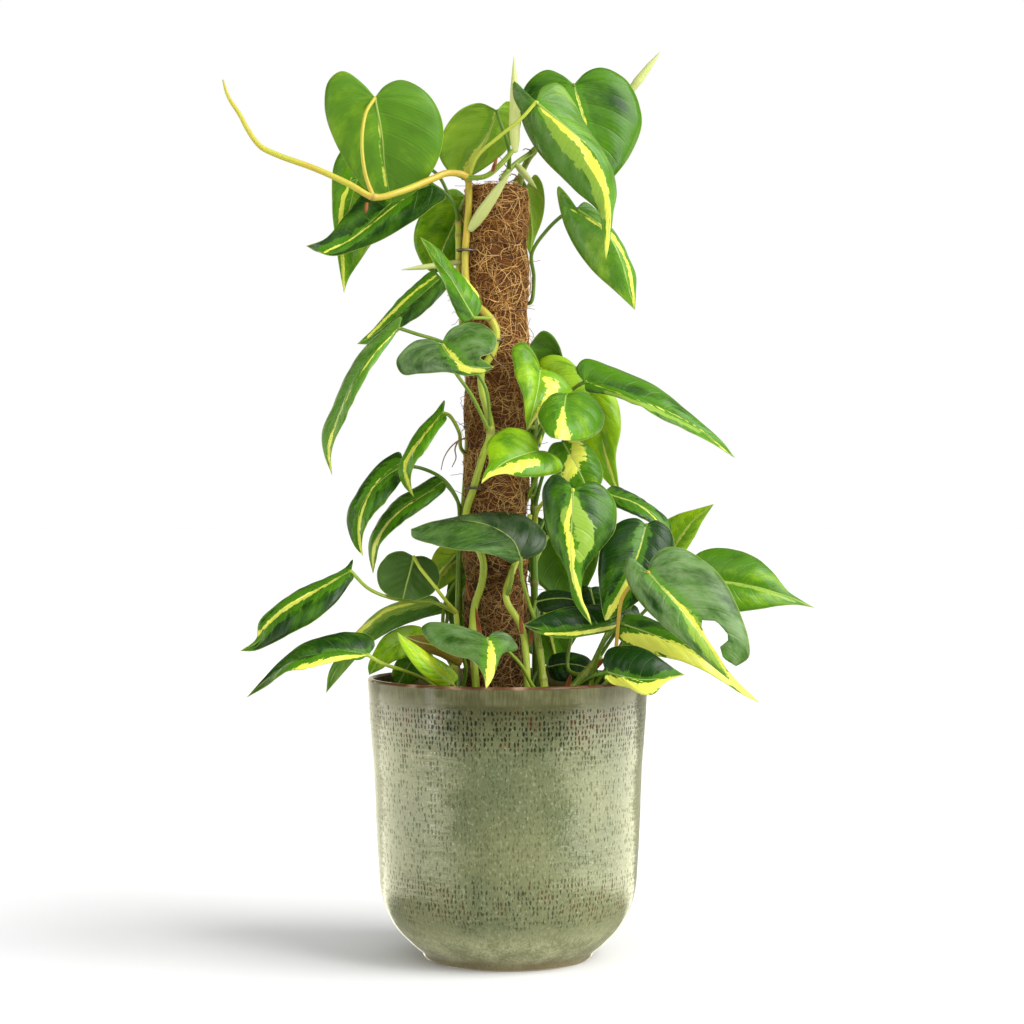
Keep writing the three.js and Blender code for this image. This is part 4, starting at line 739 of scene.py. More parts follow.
class Shape:
    """The vertices, triangles and values of one piece, gathered part by part."""

    def __init__(self):
        self.places = []
        self.triangles = []
        self.values = {}
        self.count = 0

    def add(self, places, triangles, **values):
        self.places.append(np.asarray(places, float))
        self.triangles.append(np.asarray(triangles, int) + self.count)
        for name, value in values.items():
            rows = np.broadcast_to(np.asarray(value, float), (len(places), 3))
            self.values.setdefault(name, []).append(rows)
        self.count += len(places)

    def piece(self, name, material, slot, *nodes, smooth=True):
        """Makes the Blender object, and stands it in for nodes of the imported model."""
        places = np.concatenate(self.places) * MM
        triangles = np.concatenate(self.triangles)
        mesh = bpy.data.meshes.new(name)
        mesh.vertices.add(len(places))
        mesh.vertices.foreach_set("co", places.ravel())
        mesh.loops.add(triangles.size)
        mesh.loops.foreach_set("vertex_index", triangles.ravel())
        mesh.polygons.add(len(triangles))
        mesh.polygons.foreach_set("loop_start", np.arange(0, triangles.size, 3))
        mesh.polygons.foreach_set("use_smooth", np.full(len(triangles), smooth))
        for label, rows in self.values.items():
            layer = mesh.attributes.new(label, "FLOAT_VECTOR", "POINT")
            layer.data.foreach_set("vector", np.concatenate(rows).ravel())
        mesh.update(calc_edges=True)
        mesh.validate()
        mesh.materials.append(material)
        piece = bpy.data.objects.new(name, mesh)
        bpy.context.scene.collection.objects.link(piece)
        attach(piece, "root")
        if nodes:
            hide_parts(*nodes)
        return piece


def ring_triangles(rings, sides):
    """Triangles of a pointed tube: rings of vertices one after another, then its two end points."""
    i, k = np.meshgrid(np.arange(rings - 1), np.arange(sides), indexing="ij")
    a = i * sides + k
    b = i * sides + (k + 1) % sides
    c, d = b + sides, a + sides
    walls = np.stack([np.stack([a, b, c], -1), np.stack([a, c, d], -1)], axis=2).reshape(-1, 3)
    side = np.arange(sides)
    after = (side + 1) % sides
    first, last = rings * sides, rings * sides + 1
    foot = np.stack([after, side, np.full(sides, first)], -1)
    top = np.stack([side, after, np.full(sides, last - (rings - 1) * sides)], -1) + (rings - 1) * sides
    return np.concatenate([walls, foot, top])


def way_along(path):
    """The length of a path up to each of its points."""
    return np.concatenate([[0], np.cumsum(np.linalg.norm(np.diff(path, axis=0), axis=1))])


def tube_frames(path):
    """Two directions square to a path at each of its points, turning as little as they can."""
    ahead = unit(np.gradient(path, axis=0))
    sideways = np.cross(ahead[0], (0, 1, 0) if abs(ahead[0][1]) < 0.8 else (1, 0, 0))
    first = []
    for direction in ahead:
        sideways = unit(sideways - direction * np.dot(sideways, direction))
        first.append(sideways)
    first = np.array(first)
    return first, np.cross(ahead, first)


def tube(shape, path, radii, sides, flat=None, **values):
    """A closed rod through places. Its values along and round it go into stem: mm, cosine, sine."""
    path = np.asarray(path, float)
    radii = np.broadcast_to(radii, len(path))
    first, second = tube_frames(path)
    angle = np.arange(sides) / sides * math.tau
    cosine, sine = np.cos(angle), np.sin(angle)
    reach = radii[:, None] * (1 if flat is None else flat(angle))
    spokes = first[:, None] * cosine[:, None] + second[:, None] * sine[:, None]
    rings = path[:, None] + spokes * reach[..., None]
    along = way_along(path)
    ends = np.array([path[0] - unit(path[1] - path[0]) * radii[0] * 0.5,
                     path[-1] + unit(path[-1] - path[-2]) * radii[-1] * 0.5])
    stem = np.stack([np.repeat(along, sides), np.tile(cosine, len(path)), np.tile(sine, len(path))], -1)
    stem = np.concatenate([stem, [[along[0], 0, 0], [along[-1], 0, 0]]])
    full = {}
    for name, value in values.items():
        rows = np.asarray(value, float)
        if rows.ndim == 2:
            rows = np.concatenate([np.repeat(rows, sides, axis=0), rows[:1], rows[-1:]])
        full[name] = rows
    places = np.concatenate([rings.reshape(-1, 3), ends])
    shape.add(places, ring_triangles(len(path), sides), stem=stem, **full)


def strands(shape, paths, radii, sides, **values):
    """Many thin rods at once: paths (rods, points, 3) and radii (rods, points)."""
    rods, points = radii.shape
    ahead = unit(np.gradient(paths, axis=1))
    outward = paths - np.array([POLE_X, POLE_Y, 0])
    outward[..., 2] = 0
    first = unit(np.cross(ahead, unit(outward)))
    second = np.cross(first, ahead)
    angle = np.arange(sides) / sides * math.tau
    spokes = first[:, :, None] * np.cos(angle)[:, None] + second[:, :, None] * np.sin(angle)[:, None]
    rings = paths[:, :, None] + spokes * radii[:, :, None, None]
    tips = np.stack([paths[:, 0], paths[:, -1]], axis=1)
    places = np.concatenate([rings.reshape(rods, -1, 3), tips], axis=1)
    each = ring_triangles(points, sides)
    triangles = each[None] + (np.arange(rods) * places.shape[1])[:, None, None]
    full = {name: np.repeat(value, places.shape[1], axis=0) for name, value in values.items()}
    shape.add(places.reshape(-1, 3), triangles.reshape(-1, 3), **full)


def turned(shape, profile, sides, bump=None, centre=(0, 0), **values):
    """A closed ring or body turned round the vertical through a loop of radii and heights."""
    profile = np.asarray(profile, float)
    rings = len(profile)
    angle = np.arange(sides) / sides * math.tau
    radius = np.repeat(profile[:, 0][:, None], sides, axis=1)
    height = np.repeat(profile[:, 1][:, None], sides, axis=1)
    if bump:
        radius, height = bump(radius, height, angle[None, :])
    places = np.stack([centre[0] + radius * np.cos(angle), centre[1] + radius * np.sin(angle), height], -1)
    i, k = np.meshgrid(np.arange(rings), np.arange(sides), indexing="ij")
    a = i * sides + k
    b = i * sides + (k + 1) % sides
    c = (i + 1) % rings * sides + (k + 1) % sides
    d = (i + 1) % rings * sides + k
    triangles = np.stack([np.stack([a, b, c], -1), np.stack([a, c, d], -1)], axis=2).reshape(-1, 3)
    shape.add(places.reshape(-1, 3), triangles, **values)


# Materials


class Nodes:
    """A tree of shader nodes that grows node by node."""

    def __init__(self, tree):
        self.nodes = tree.nodes
        self.links = tree.links

    def put(self, socket, value):
        """Links a socket to another, or gives it a value."""
        if isinstance(value, bpy.types.NodeSocket):
            self.links.new(value, socket)
        elif isinstance(value, tuple) and len(value) == 3 and len(socket.default_value) == 4:
            socket.default_value = (*value, 1)
        else:
            socket.default_value = value

    def node(self, kind, **inputs):
        node = self.nodes.new("ShaderNode" + kind)
        for name, value in inputs.items():
            self.put(node.inputs[name.replace("_", " ")], value)
        return node.outputs[0]

    def math(self, operation, *values):
        node = self.nodes.new("ShaderNodeMath")
        node.operation = operation
        for socket, value in zip(node.inputs, values):
            self.put(socket, value)
        return node.outputs[0]

    def times(self, a, b):
        return self.math("MULTIPLY", a, b)

    def plus(self, a, b):
        return self.math("ADD", a, b)

    def axes(self, vector):
        """The three parts of a vector."""
        node = self.nodes.new("ShaderNodeSeparateXYZ")
        self.put(node.inputs[0], vector)
        return node.outputs[0], node.outputs[1], node.outputs[2]

    def vector(self, x, y, z):
        return self.node("CombineXYZ", X=x, Y=y, Z=z)

    def between(self, value, low, high, start, end):
        """Start below low and end above high, smooth between them."""
        node = self.nodes.new("ShaderNodeMapRange")
        node.interpolation_type = "SMOOTHSTEP"
        for name, part in (("Value", value), ("From Min", low), ("From Max", high),
                           ("To Min", start), ("To Max", end)):
            self.put(node.inputs[name], part)
        return node.outputs[0]

    def step(self, value, low, high):
        """0 below low and 1 above high, smooth between them, or the other way round."""
        flipped = low > high
        return self.between(value, min(low, high), max(low, high), float(flipped), float(not flipped))

    def blend(self, share, a, b):
        """A number between two numbers."""
        return self.node("Mix", Factor=share, A=a, B=b)

    def mix(self, share, a, b):
        """A colour between two colours."""
        node = self.nodes.new("ShaderNodeMix")
        node.data_type = "RGBA"
        self.put(node.inputs[0], share)
        self.put(node.inputs[6], a)
        self.put(node.inputs[7], b)
        return node.outputs[2]

    def ramp(self, value, *stops):
        """Colours at rising values, mixed smoothly between them."""
        colour = stops[0][1]
        for (low, _), (high, after) in zip(stops, stops[1:]):
            colour = self.mix(self.step(value, low, high), colour, after)
        return colour


class Finish(Nodes):
    """A material."""

    def __init__(self, name, **settings):
        self.material = bpy.data.materials.new(name)
        self.material.use_nodes = True
        super().__init__(self.material.node_tree)
        self.shader = self.nodes["Principled BSDF"]
        self.set(**settings)

    def set(self, **settings):
        for name, value in settings.items():
            self.put(self.shader.inputs[name.replace("_", " ")], value)

    def value(self, name):
        """The three parts of a value that the mesh carries."""
        node = self.nodes.new("ShaderNodeAttribute")
        node.attribute_name = name
        return self.axes(node.outputs["Vector"])

    def place(self):
        """The surface's own place in millimetres."""
        node = self.nodes.new("ShaderNodeTexCoord")
        scaled = self.nodes.new("ShaderNodeVectorMath")
        scaled.operation = "SCALE"
        self.links.new(node.outputs["Object"], scaled.inputs[0])
        scaled.inputs["Scale"].default_value = 1 / MM
        return self.axes(scaled.outputs[0])

    def noise(self, place, stretch=(1, 1, 1), scale=1.0, detail=2.0, rough=0.5):
        """Noise between about -1 and 1 at a place of three parts, each stretched."""
        parts = [part if by == 1 else self.times(part, float(by)) for part, by in zip(place, stretch)]
        vector = self.vector(*parts)
        value = self.node("TexNoise", Vector=vector, Scale=scale, Detail=detail, Roughness=rough)
        return self.math("MULTIPLY_ADD", value, 4.0, -2.0)

    def relief(self, height, strength=1.0):
        """Bump from a height in millimetres."""
        return self.node("Bump", Height=height, Distance=MM, Strength=strength)


# Leaves

LEAF_DEEP = (0.008, 0.038, 0.003)
LEAF_MID = (0.062, 0.180, 0.005)
LEAF_FRESH = (0.260, 0.460, 0.008)
LEAF_LIME = (0.480, 0.590, 0.012)
LEAF_YELLOW = (0.700, 0.730, 0.085)
LEAF_CREAM = (0.800, 0.810, 0.250)
LEAF_LIGHT = (0.225, 0.370, 0.040)
LEAF_HALO = (0.085, 0.260, 0.006)
LEAF_RIB = (0.420, 0.520, 0.120)
LEAF_MARGIN = (0.360, 0.440, 0.080)
LEAF_UNDER = (0.120, 0.250, 0.018)
# Painted sheen: grey that stands in for a reflection on the blades
LEAF_PAINTED_SHEEN = (0.260, 0.330, 0.190)
LEAF_BROWN = (0.150, 0.105, 0.008)


def leaf_finish():
    """Values: grid u, f, mm to the midrib; look tone, yellow, light; wide half widths of the stripes and
    the value from a painted grey sheen (below 0) to a brown tint (above 0); kind under, seed, mm to the
    margin."""
    f = Finish("philodendron_leaf", IOR=1.45, Specular_IOR_Level=0.24)
    u, across, rib = f.value("grid")
    tone, yellow, light = f.value("look")
    yellow_wide, light_wide, brown_or_painted_sheen = f.value("wide")
    under, seed, margin = f.value("kind")
    reach = f.math("ABSOLUTE", across)
    bent = f.math("SUBTRACT", u, f.times(f.times(reach, reach), VEIN_BEND))
    side = f.plus(f.times(seed, 50.0), f.times(f.math("SIGN", across), 7.3))

    spot = (bent, reach, side)
    streaks = f.noise(spot, (15, 3.2, 1), detail=4.0, rough=0.68)
    blotches = f.noise(spot, (7, 1.9, 1))
    fleck = f.noise(spot, (60, 9, 1), detail=3.0, rough=0.65)
    sector = f.noise(spot, (4.2, 0.7, 1), detail=1.0)

    shade = f.plus(tone, f.plus(f.times(blotches, 0.17), f.times(fleck, 0.06)))
    shade = f.plus(shade, f.plus(f.times(sector, 0.16), f.times(streaks, 0.08)))
    colour = f.ramp(shade, (-0.05, LEAF_DEEP), (0.45, LEAF_MID), (0.95, LEAF_FRESH), (1.25, LEAF_LIME))
    # Below 0 that value mixes in a painted grey sheen, a painted reflection laid over the streaks and
    # blotches; above 0 it tints the blade brown.
    sheen = f.step(f.plus(streaks, f.times(blotches, 0.6)), -1.2, 1.4)
    colour = f.mix(f.times(f.step(brown_or_painted_sheen, 0.0, -1.0), f.times(sheen, 0.85)), colour, LEAF_PAINTED_SHEEN)
    colour = f.mix(f.step(brown_or_painted_sheen, 0.1, 1.0), colour, LEAF_BROWN)
    halo = f.step(f.plus(yellow, f.plus(f.times(streaks, 4.0), f.times(blotches, 3.0))), -7.0, -4.5)
    colour = f.mix(f.times(halo, 0.55), colour, LEAF_HALO)
    torn = f.plus(f.times(streaks, 0.55), f.times(fleck, 0.16))
    lights = f.step(f.plus(light, f.times(light_wide, torn)), -0.5, 0.3)
    colour = f.mix(lights, colour, LEAF_LIGHT)
    yellows = f.step(f.plus(yellow, f.times(yellow_wide, f.plus(torn, -0.22))), -0.4, 0.35)
    bright = f.mix(f.step(blotches, 0.0, 1.3), LEAF_YELLOW, LEAF_CREAM)
    colour = f.mix(yellows, colour, bright)

    phase = f.math("FRACT", f.times(bent, float(SIDE_VEINS)))
    vein = f.step(f.math("ABSOLUTE", f.math("SUBTRACT", phase, 0.5)), 0.07, 0.01)
    vein = f.times(vein, f.times(f.step(reach, 0.95, 0.4), f.step(rib, 0.3, 1.5)))
    fine_phase = f.math("FRACT", f.times(bent, float(FINE_VEINS)))
    fine = f.times(f.step(f.math("ABSOLUTE", f.math("SUBTRACT", fine_phase, 0.5)), 0.28, 0.05), 0.5)
    colour = f.mix(f.times(vein, 0.06), colour, LEAF_RIB)
    colour = f.mix(f.times(fine, 0.12), colour, LEAF_DEEP)
    middle = f.step(f.plus(rib, f.times(u, 0.4)), 0.95, 0.5)
    colour = f.mix(f.times(middle, 0.68), colour, LEAF_RIB)
    edge = f.step(margin, 0.5, 0.2)
    colour = f.mix(f.times(edge, 0.6), colour, LEAF_MARGIN)
    pale = f.mix(0.4, colour, LEAF_UNDER)
    colour = f.mix(f.times(under, 0.7), colour, pale)
    f.set(Base_Color=colour)
    f.set(Roughness=f.math("MULTIPLY_ADD", under, 0.14, f.math("MULTIPLY_ADD", fleck, 0.04, 0.26)))
    height = f.plus(f.times(vein, -0.16), f.plus(f.times(fine, -0.05), f.times(middle, -0.12)))
    height = f.plus(height, f.plus(f.times(fleck, 0.022), f.times(blotches, 0.05)))
    f.set(Normal=f.relief(height, 0.9))
    return f.material


def outline(leaf, side):
    """A smooth line round one side of a blade, from stalk to tip, in columns and rows."""
    rib = numbers(leaf["rib"])
    return Smooth(np.vstack([rib[0, :2], leaf[side], rib[-1, :2]]))


def with_sides(leaf):
    """A table entry with the points of its two sides."""
    full = dict(leaf)
    if "widths" not in leaf:
        full.update(left=numbers(leaf["left"]), right=numbers(leaf["right"]))
        return full
    rib = numbers(leaf["rib"])[:, :2]
    along = rib[-1] - rib[0]
    across = np.array([-along[1], along[0]]) / np.linalg.norm(along)
    for name, width in zip(("left", "right"), (leaf["widths"][0], -leaf["widths"][1])):
        full[name] = np.array([rib[0] + along * a + across * width * b for a, b in HEART])
    full.update(face=AWAY, set=(0, 0))
    return full


def fan_share(leaf):
    """The share of a blade's outline that its lobes take, whose rows all fan out from the stalk's end."""
    rib = numbers(leaf["rib"])[:, :2]
    lobes = []
    for side in ("left", "right"):
        points = outline(leaf, side).at(np.linspace(0, 1, OUTLINE_STEPS + 1))
        behind = np.flatnonzero((points - rib[0]) @ (rib[-1] - rib[0]) <= 0)
        lobes.append(behind[-1] / OUTLINE_STEPS)
    return min(max(sum(lobes) / 2 + FAN_EXTRA, FAN_LEAST), FAN_MOST)


def side_rows(leaf, side, number, u):
    """Places on the midrib and the edge of one side, and the midrib's directions there."""
    rib = Smooth(route(leaf["rib"]))
    fan = fan_share(leaf)
    share = np.where(u < fan, 0, np.maximum((u - fan) / (1 - fan), 0) ** FAN_POWER)
    middle = rib.at(share)
    flat = outline(leaf, side).at(u)
    behind = leaf["set"][number] * np.sin(np.pi * u) ** SET_POWER * (1 - u ** 4)
    edge = seen(flat[:, 0], flat[:, 1], middle[:, 1] + behind)
    edge[u >= 1] = middle[u >= 1]
    tangent = unit(rib.at(np.minimum(share + 0.001, 1)) - rib.at(np.maximum(share - 0.001, 0)))
    return middle, edge, tangent


def sides_of(leaf):
    """The two sides' grids of places, their upright normals and whether they turn."""
    u = np.linspace(0, 1, BLADE_ROWS + 1)
    sides = [side_rows(leaf, side, number, u) for number, side in enumerate(("left", "right"))]
    widest = BLADE_ROWS // 2
    across = [unit(edge[widest] - middle[widest]) for middle, edge, _ in sides]
    ahead = sides[0][2][widest]
    normals = [unit(np.cross(ahead, across[0])), unit(np.cross(across[1], ahead))]
    upright = 1 if np.dot(normals[0] + normals[1], leaf.get("face", TO_VIEW)) >= 0 else -1
    return u, sides, [normal * upright for normal in normals], upright


def stripe(places, text):
    """How many pixels inside stripes the places are seen, negative outside, and the stripe's half width."""
    depth = np.full(len(places), NO_STRIPE)
    wide = np.ones(len(places))
    flat = pictured(places)
    for part in text.split(";") if text else ():
        curve = Smooth(numbers(part)).at(np.linspace(0, 1, OUTLINE_STEPS))
        gaps = curve[None, :, 2] - np.linalg.norm(flat[:, None] - curve[None, :, :2], axis=2)
        best = np.argmax(gaps, axis=1)
        here = gaps[np.arange(len(flat)), best]
        nearer = here > depth
        depth[nearer] = here[nearer]
        wide[nearer] = curve[best, 2][nearer]
    return depth, np.maximum(wide, 0.5)


def inside(flat, polygon):
    """Which points lie in a polygon, and the nearest point of its border."""
    within = np.zeros(len(flat), bool)
    nearest = np.full(flat.shape, 1e9)
    for a, b in zip(polygon, np.roll(polygon, -1, axis=0)):
        crosses = (a[1] > flat[:, 1]) != (b[1] > flat[:, 1])
        rise = b[1] - a[1] if b[1] != a[1] else 1e-9
        within ^= crosses & (flat[:, 0] < (b[0] - a[0]) * (flat[:, 1] - a[1]) / rise + a[0])
        share = np.clip((flat - a) @ (b - a) / np.dot(b - a, b - a), 0, 1)
        foot = a + share[:, None] * (b - a)
        closer = np.linalg.norm(foot - flat, axis=1) < np.linalg.norm(nearest - flat, axis=1)
        nearest[closer] = foot[closer]
    return within, nearest


def surface(leaf, number, u, f, sides, normals):
    """The places of a blade's two sides, with their swell, wavy margin, quilting and midrib groove."""
    swell = leaf.get("swell", SWELL)
    fade = np.sin(np.pi * u)
    halves = []
    for index, (middle, edge, _) in enumerate(sides):
        width = np.linalg.norm(edge - middle, axis=1)
        crest = np.minimum(abs(swell), width * SWELL_MOST) * np.sign(swell)
        lift = (crest * fade ** SWELL_POWER)[:, None] * 4 * f * (1 - f)
        wave = noise_rows(SEEDS["wave"] + number * 2 + index, 1, 7, u * 1.6)[0]
        lift = lift + (wave * np.minimum(width * WAVE_SHARE, WAVE_MOST) * fade ** 0.5)[:, None] * f ** 3
        phase = (u[:, None] - VEIN_BEND * f ** 2) * SIDE_VEINS
        quilt = np.abs(np.sin(np.pi * (phase - 0.5))) * np.minimum(1, width / 12)[:, None]
        lift = lift + QUILT_HEIGHT * (quilt - 0.6) * (4 * f * (1 - f)) * fade[:, None] ** 0.5
        groove = np.exp(-(f * width[:, None] / GROOVE_WIDTH) ** 2)
        lift = lift - GROOVE_DEPTH * groove * (f > 0) * fade[:, None]
        grid = middle[:, None] + (edge - middle)[:, None] * f[:, None]
        halves.append(grid + normals[index] * lift[..., None])
    return np.concatenate([halves[0][:, :0:-1], halves[1]], axis=1)


def welded(grid, u, f):
    """A grid's distinct points, their u and share across, and the triangles between them."""
    columns = grid.shape[1]
    flat = grid.reshape(-1, 3)
    _, keep, merged = np.unique(np.round(flat, 3), axis=0, return_index=True, return_inverse=True)
    i, k = np.meshgrid(np.arange(len(u) - 1), np.arange(columns - 1), indexing="ij")
    a = i * columns + k
    b, c, d = a + 1, a + columns + 1, a + columns
    quads = [np.stack([a, b, c], -1), np.stack([a, c, d], -1)]
    triangles = merged.reshape(-1)[np.stack(quads, axis=2).reshape(-1, 3)]
    spread = np.concatenate([-f[:0:-1], f])
    return flat[keep], np.repeat(u, columns)[keep], np.tile(spread, len(u))[keep], triangles


def notched(points, triangles, text):
    """A sheet without the part inside an outline, whose border its points are moved to."""
    within, nearest = inside(pictured(points), numbers(text))
    moved = seen(nearest[:, 0], nearest[:, 1], points[:, 1])
    return np.where(within[:, None], moved, points), triangles[~np.all(within[triangles], axis=1)]


def point_normals(points, triangles):
    corners = points[triangles]
    faces = np.cross(corners[:, 1] - corners[:, 0], corners[:, 2] - corners[:, 0])
    normal = np.zeros_like(points)
    for corner in range(3):
        np.add.at(normal, triangles[:, corner], faces)
    return unit(normal)


def both_faces(triangles, count):
    """Triangles of a sheet's upper face, of the lower one, count places on, and of the rim."""
    edges = np.concatenate([triangles[:, [0, 1]], triangles[:, [1, 2]], triangles[:, [2, 0]]])
    keys = {tuple(pair) for pair in edges}
    border = np.array([pair for pair in edges if (pair[1], pair[0]) not in keys])
    start, end = border[:, 0], border[:, 1]
    rim = np.concatenate([np.stack([start, start + count, end + count], -1),
                          np.stack([start, end + count, end], -1)])
    return np.concatenate([triangles, triangles[:, ::-1] + count, rim])


def blade(name, leaf, look, number, material, node):
    """One leaf blade: a thin closed sheet with its veins' relief, and its midrib below."""
    leaf = with_sides(leaf)
    draw = np.random.default_rng(SEEDS["blade"] + number)
    seed = draw.uniform()
    u, sides, normals, upright = sides_of(leaf)
    f = (np.arange(BLADE_COLUMNS + 1) / BLADE_COLUMNS) ** COLUMN_POWER
    points, rows_u, cols_f, triangles = welded(surface(leaf, number, u, f, sides, normals), u, f)
    if upright < 0:
        triangles = triangles[:, ::-1]
    if "holes" in look:
        points, triangles = notched(points, triangles, look["holes"])
    distinct = np.all(triangles != np.roll(triangles, 1, axis=1), axis=1)
    used, compact = np.unique(triangles[distinct], return_inverse=True)
    triangles = compact.reshape(-1, 3)
    points, rows_u, cols_f = points[used], rows_u[used], cols_f[used]

    rib_line = Smooth(route(leaf["rib"]))
    rib_points = rib_line.at(np.linspace(0, 1, 80))
    rib_gap = np.min(np.linalg.norm(points[:, None] - rib_points[None], axis=2), axis=1)
    width_at = [np.interp(rows_u, u, np.linalg.norm(edge - middle, axis=1)) for middle, edge, _ in sides]
    width = np.where(cols_f < 0, width_at[0], width_at[1])
    margin = width * (1 - np.abs(cols_f))
    half = BLADE_THICKNESS / 2 * np.clip(0.35 + margin / 1.2, 0.35, 1)[:, None]
    out = point_normals(points, triangles) * half
    count = len(points)
    tone = look["tone"] + draw.uniform(-0.03, 0.03)
    yellow, yellow_wide = stripe(points, look.get("yellow"))
    light, light_wide = stripe(points, look.get("light"))
    half_tone = tone + np.interp(cols_f, [-0.15, 0.15], look.get("halves", (0, 0)))
    colours = np.stack([half_tone, yellow, light], -1)
    wide = np.stack([yellow_wide, light_wide, np.full(count, look.get("brown_or_painted_sheen", 0.0))], -1)
    grid = np.stack([rows_u, cols_f, rib_gap], -1)
    kinds = [np.stack([np.full(count, under), np.full(count, seed), margin], -1) for under in (0, 1)]
    shape = Shape()
    shape.add(np.concatenate([points + out, points - out]), both_faces(triangles, count),
              grid=np.tile(grid, (2, 1)), look=np.tile(colours, (2, 1)), wide=np.tile(wide, (2, 1)),
              kind=np.concatenate(kinds))

    share = np.linspace(0, 0.96, MIDRIB_ROWS)
    down = -unit(normals[0] + normals[1]) * (BLADE_THICKNESS / 2 + 0.1)
    midrib = Shape()
    tube(midrib, rib_line.at(share) + down, MIDRIB_RADIUS - MIDRIB_TAPER * share ** 0.8, MIDRIB_SIDES)
    shape.add(midrib.places[0], midrib.triangles[0], grid=(0.5, 0, 0), look=(tone, NO_STRIPE, NO_STRIPE),
              wide=(1, 1, 0), kind=(0.6, seed, 9))
    return shape.piece(f"blade_{name}", material, "leaf", node)


def far_look(leaf, number):
    """Colours of a blade that the picture doesn't show: green, with a stripe beside its midrib."""
    draw = np.random.default_rng(SEEDS["far"] + number)
    rib = numbers(leaf["rib"])
    wide = draw.uniform(1.5, 5)
    shift = draw.uniform(-4, 4)
    stripe = " ".join(f"{c + shift * s:.1f},{r:.1f},{wide * (1 - 0.6 * abs(2 * s - 0.9)):.2f}"
                      for (c, r, _), s in zip(rib, np.linspace(0, 1, len(rib))))
    return dict(tone=draw.uniform(0.15, 0.45), yellow=stripe)


# Stems, stalks and sheaths

STEM_GREEN = (0.090, 0.190, 0.010)
STEM_LIME = (0.400, 0.500, 0.045)
STEM_TAN = (0.520, 0.330, 0.035)
STEM_DRY = (0.270, 0.080, 0.014)
SHEATH_PALE = (0.560, 0.600, 0.230)
ROOT_BROWN = (0.120, 0.060, 0.025)

# Colour of each stem along it (0 green, 0.5 lime, 1 tan) and its thickness as a share of its radius
STEM_TONES = {
    "front": [(0, 0.48), (0.34, 0.5), (0.42, 0.58), (0.48, 0.8), (0.62, 0.85), (0.7, 0.85), (0.9, 0.75),
              (1, 0.8)],
    "left": [(0, 0.15), (0.5, 0.25), (0.72, 0.6), (0.85, 0.72), (1, 0.66)],
    "right": [(0, 0.05), (0.6, 0.2), (1, 0.35)],
    "centre": [(0, 0.45), (0.6, 0.6), (1, 0.6)],
    "low_right": [(0, 0.38), (1, 0.45)],
    "low_left": [(0, 0.55), (1, 0.6)],
}
STEM_TAPERS = {"front": [(0, 1), (0.62, 0.92), (0.74, 0.86), (0.9, 0.76), (0.97, 0.55), (1, 0.3)],
               "right": [(0, 1), (1, 0.8)]}


STEM_TAPER = [(0, 1), (1, 0.9)]
SHOOT_TONES = [(0, 0.2), (1, 0.35)]
SHOOT_TAPER = [(0, 1), (1, 1)]
SHEATH_TONE = 0.5
STALK_TONES = (0.0, 0.35)
# Short roots grow where stalks leave a stem this near to the pole's middle
POLE_NEAR = 40
ROOT_LENGTHS = (5, 10)
ROOT_RADII = (0.35, 0.6)
ROOT_POINTS = 12
SCRAP_ROWS = 14
SCRAP_COLUMNS = 9
SCRAP_THICKNESS = 0.3


def stem_finish():
    """Values: stem mm along, cosine, sine; stain tone, dry, ring."""
    f = Finish("philodendron_stem", IOR=1.45)
    around = f.value("stem")
    tone, dry, ring = f.value("stain")
    streaks = f.noise(around, (0.05, 3, 3), detail=3.0)
    spots = f.noise(around, (0.6, 2, 2))
    shade = f.plus(tone, f.plus(f.times(streaks, 0.2), f.times(spots, 0.06)))
    colour = f.ramp(shade, (0.1, STEM_GREEN), (0.55, STEM_LIME), (1.0, STEM_TAN))
    colour = f.mix(f.times(f.step(ring, 0.0, 1.0), 0.7), colour, (0.260, 0.200, 0.070))
    colour = f.mix(f.times(f.step(ring, 0.0, -1.0), 0.75), colour, SHEATH_PALE)
    dried = f.ramp(spots, (-1.2, (0.120, 0.036, 0.010)), (0.2, STEM_DRY), (1.2, (0.520, 0.240, 0.070)))
    colour = f.mix(f.step(dry, 0.1, 0.9), colour, dried)
    root = f.step(dry, 1.4, 1.9)
    colour = f.mix(root, colour, f.ramp(spots, (-1.0, ROOT_BROWN), (1.2, (0.300, 0.170, 0.070))))
    f.set(Base_Color=colour)
    f.set(Roughness=f.plus(0.38, f.times(f.math("MINIMUM", dry, 1.0), 0.35)))
    f.set(Normal=f.relief(f.plus(f.times(streaks, 0.06), f.times(spots, 0.05)), 0.8))
    return f.material


def stalk_way(leaf):
    """The middle line of a stalk, from inside its vine to its blade."""
    points = np.vstack([route(leaf["stalk"]), route(leaf["rib"])[:1]])
    vine = VINES[leaf["vine"]]
    ways = [vine["path"]] + [text for _, text in vine.get("shoots", [])]
    places = np.concatenate([Smooth(route(way)).at(np.linspace(0, 1, VINE_SAMPLES)) for way in ways])
    root = places[np.argmin(np.linalg.norm(places - points[0], axis=1))]
    if np.linalg.norm(points[0] - root) < ROOT_REACH:
        points = points[1:]
    return np.vstack([root, points])


def stained(count, *values):
    """Rows of values, one for each of count places."""
    return np.stack([np.broadcast_to(value, count) for value in values], -1)


def stem(shape, way, radius, roots, tones, taper):
    """A stem that swells a little where stalks leave it."""
    path = Smooth(way).spaced(STEM_STEP)
    along = way_along(path)
    share = along / along[-1]
    knot = np.zeros(len(path))
    for root in roots:
        gap = np.linalg.norm(path - root, axis=1)
        if gap.min() < KNOT_GAP:
            knot = np.maximum(knot, np.exp(-((along - along[np.argmin(gap)]) / KNOT_LENGTH) ** 2))
    ends = smooth_step(along, 0, 4) * smooth_step(along[-1] - along, 0, 6)
    radii = radius * np.interp(share, *zip(*taper)) * (0.88 + 0.22 * knot) * (0.75 + 0.25 * ends)
    shade = np.interp(share, *zip(*tones)) + 0.12 * knot
    ring = np.exp(-((1 - knot) / 0.1) ** 2)
    tube(shape, path, radii, STEM_SIDES, stain=stained(len(path), shade, 0, ring))


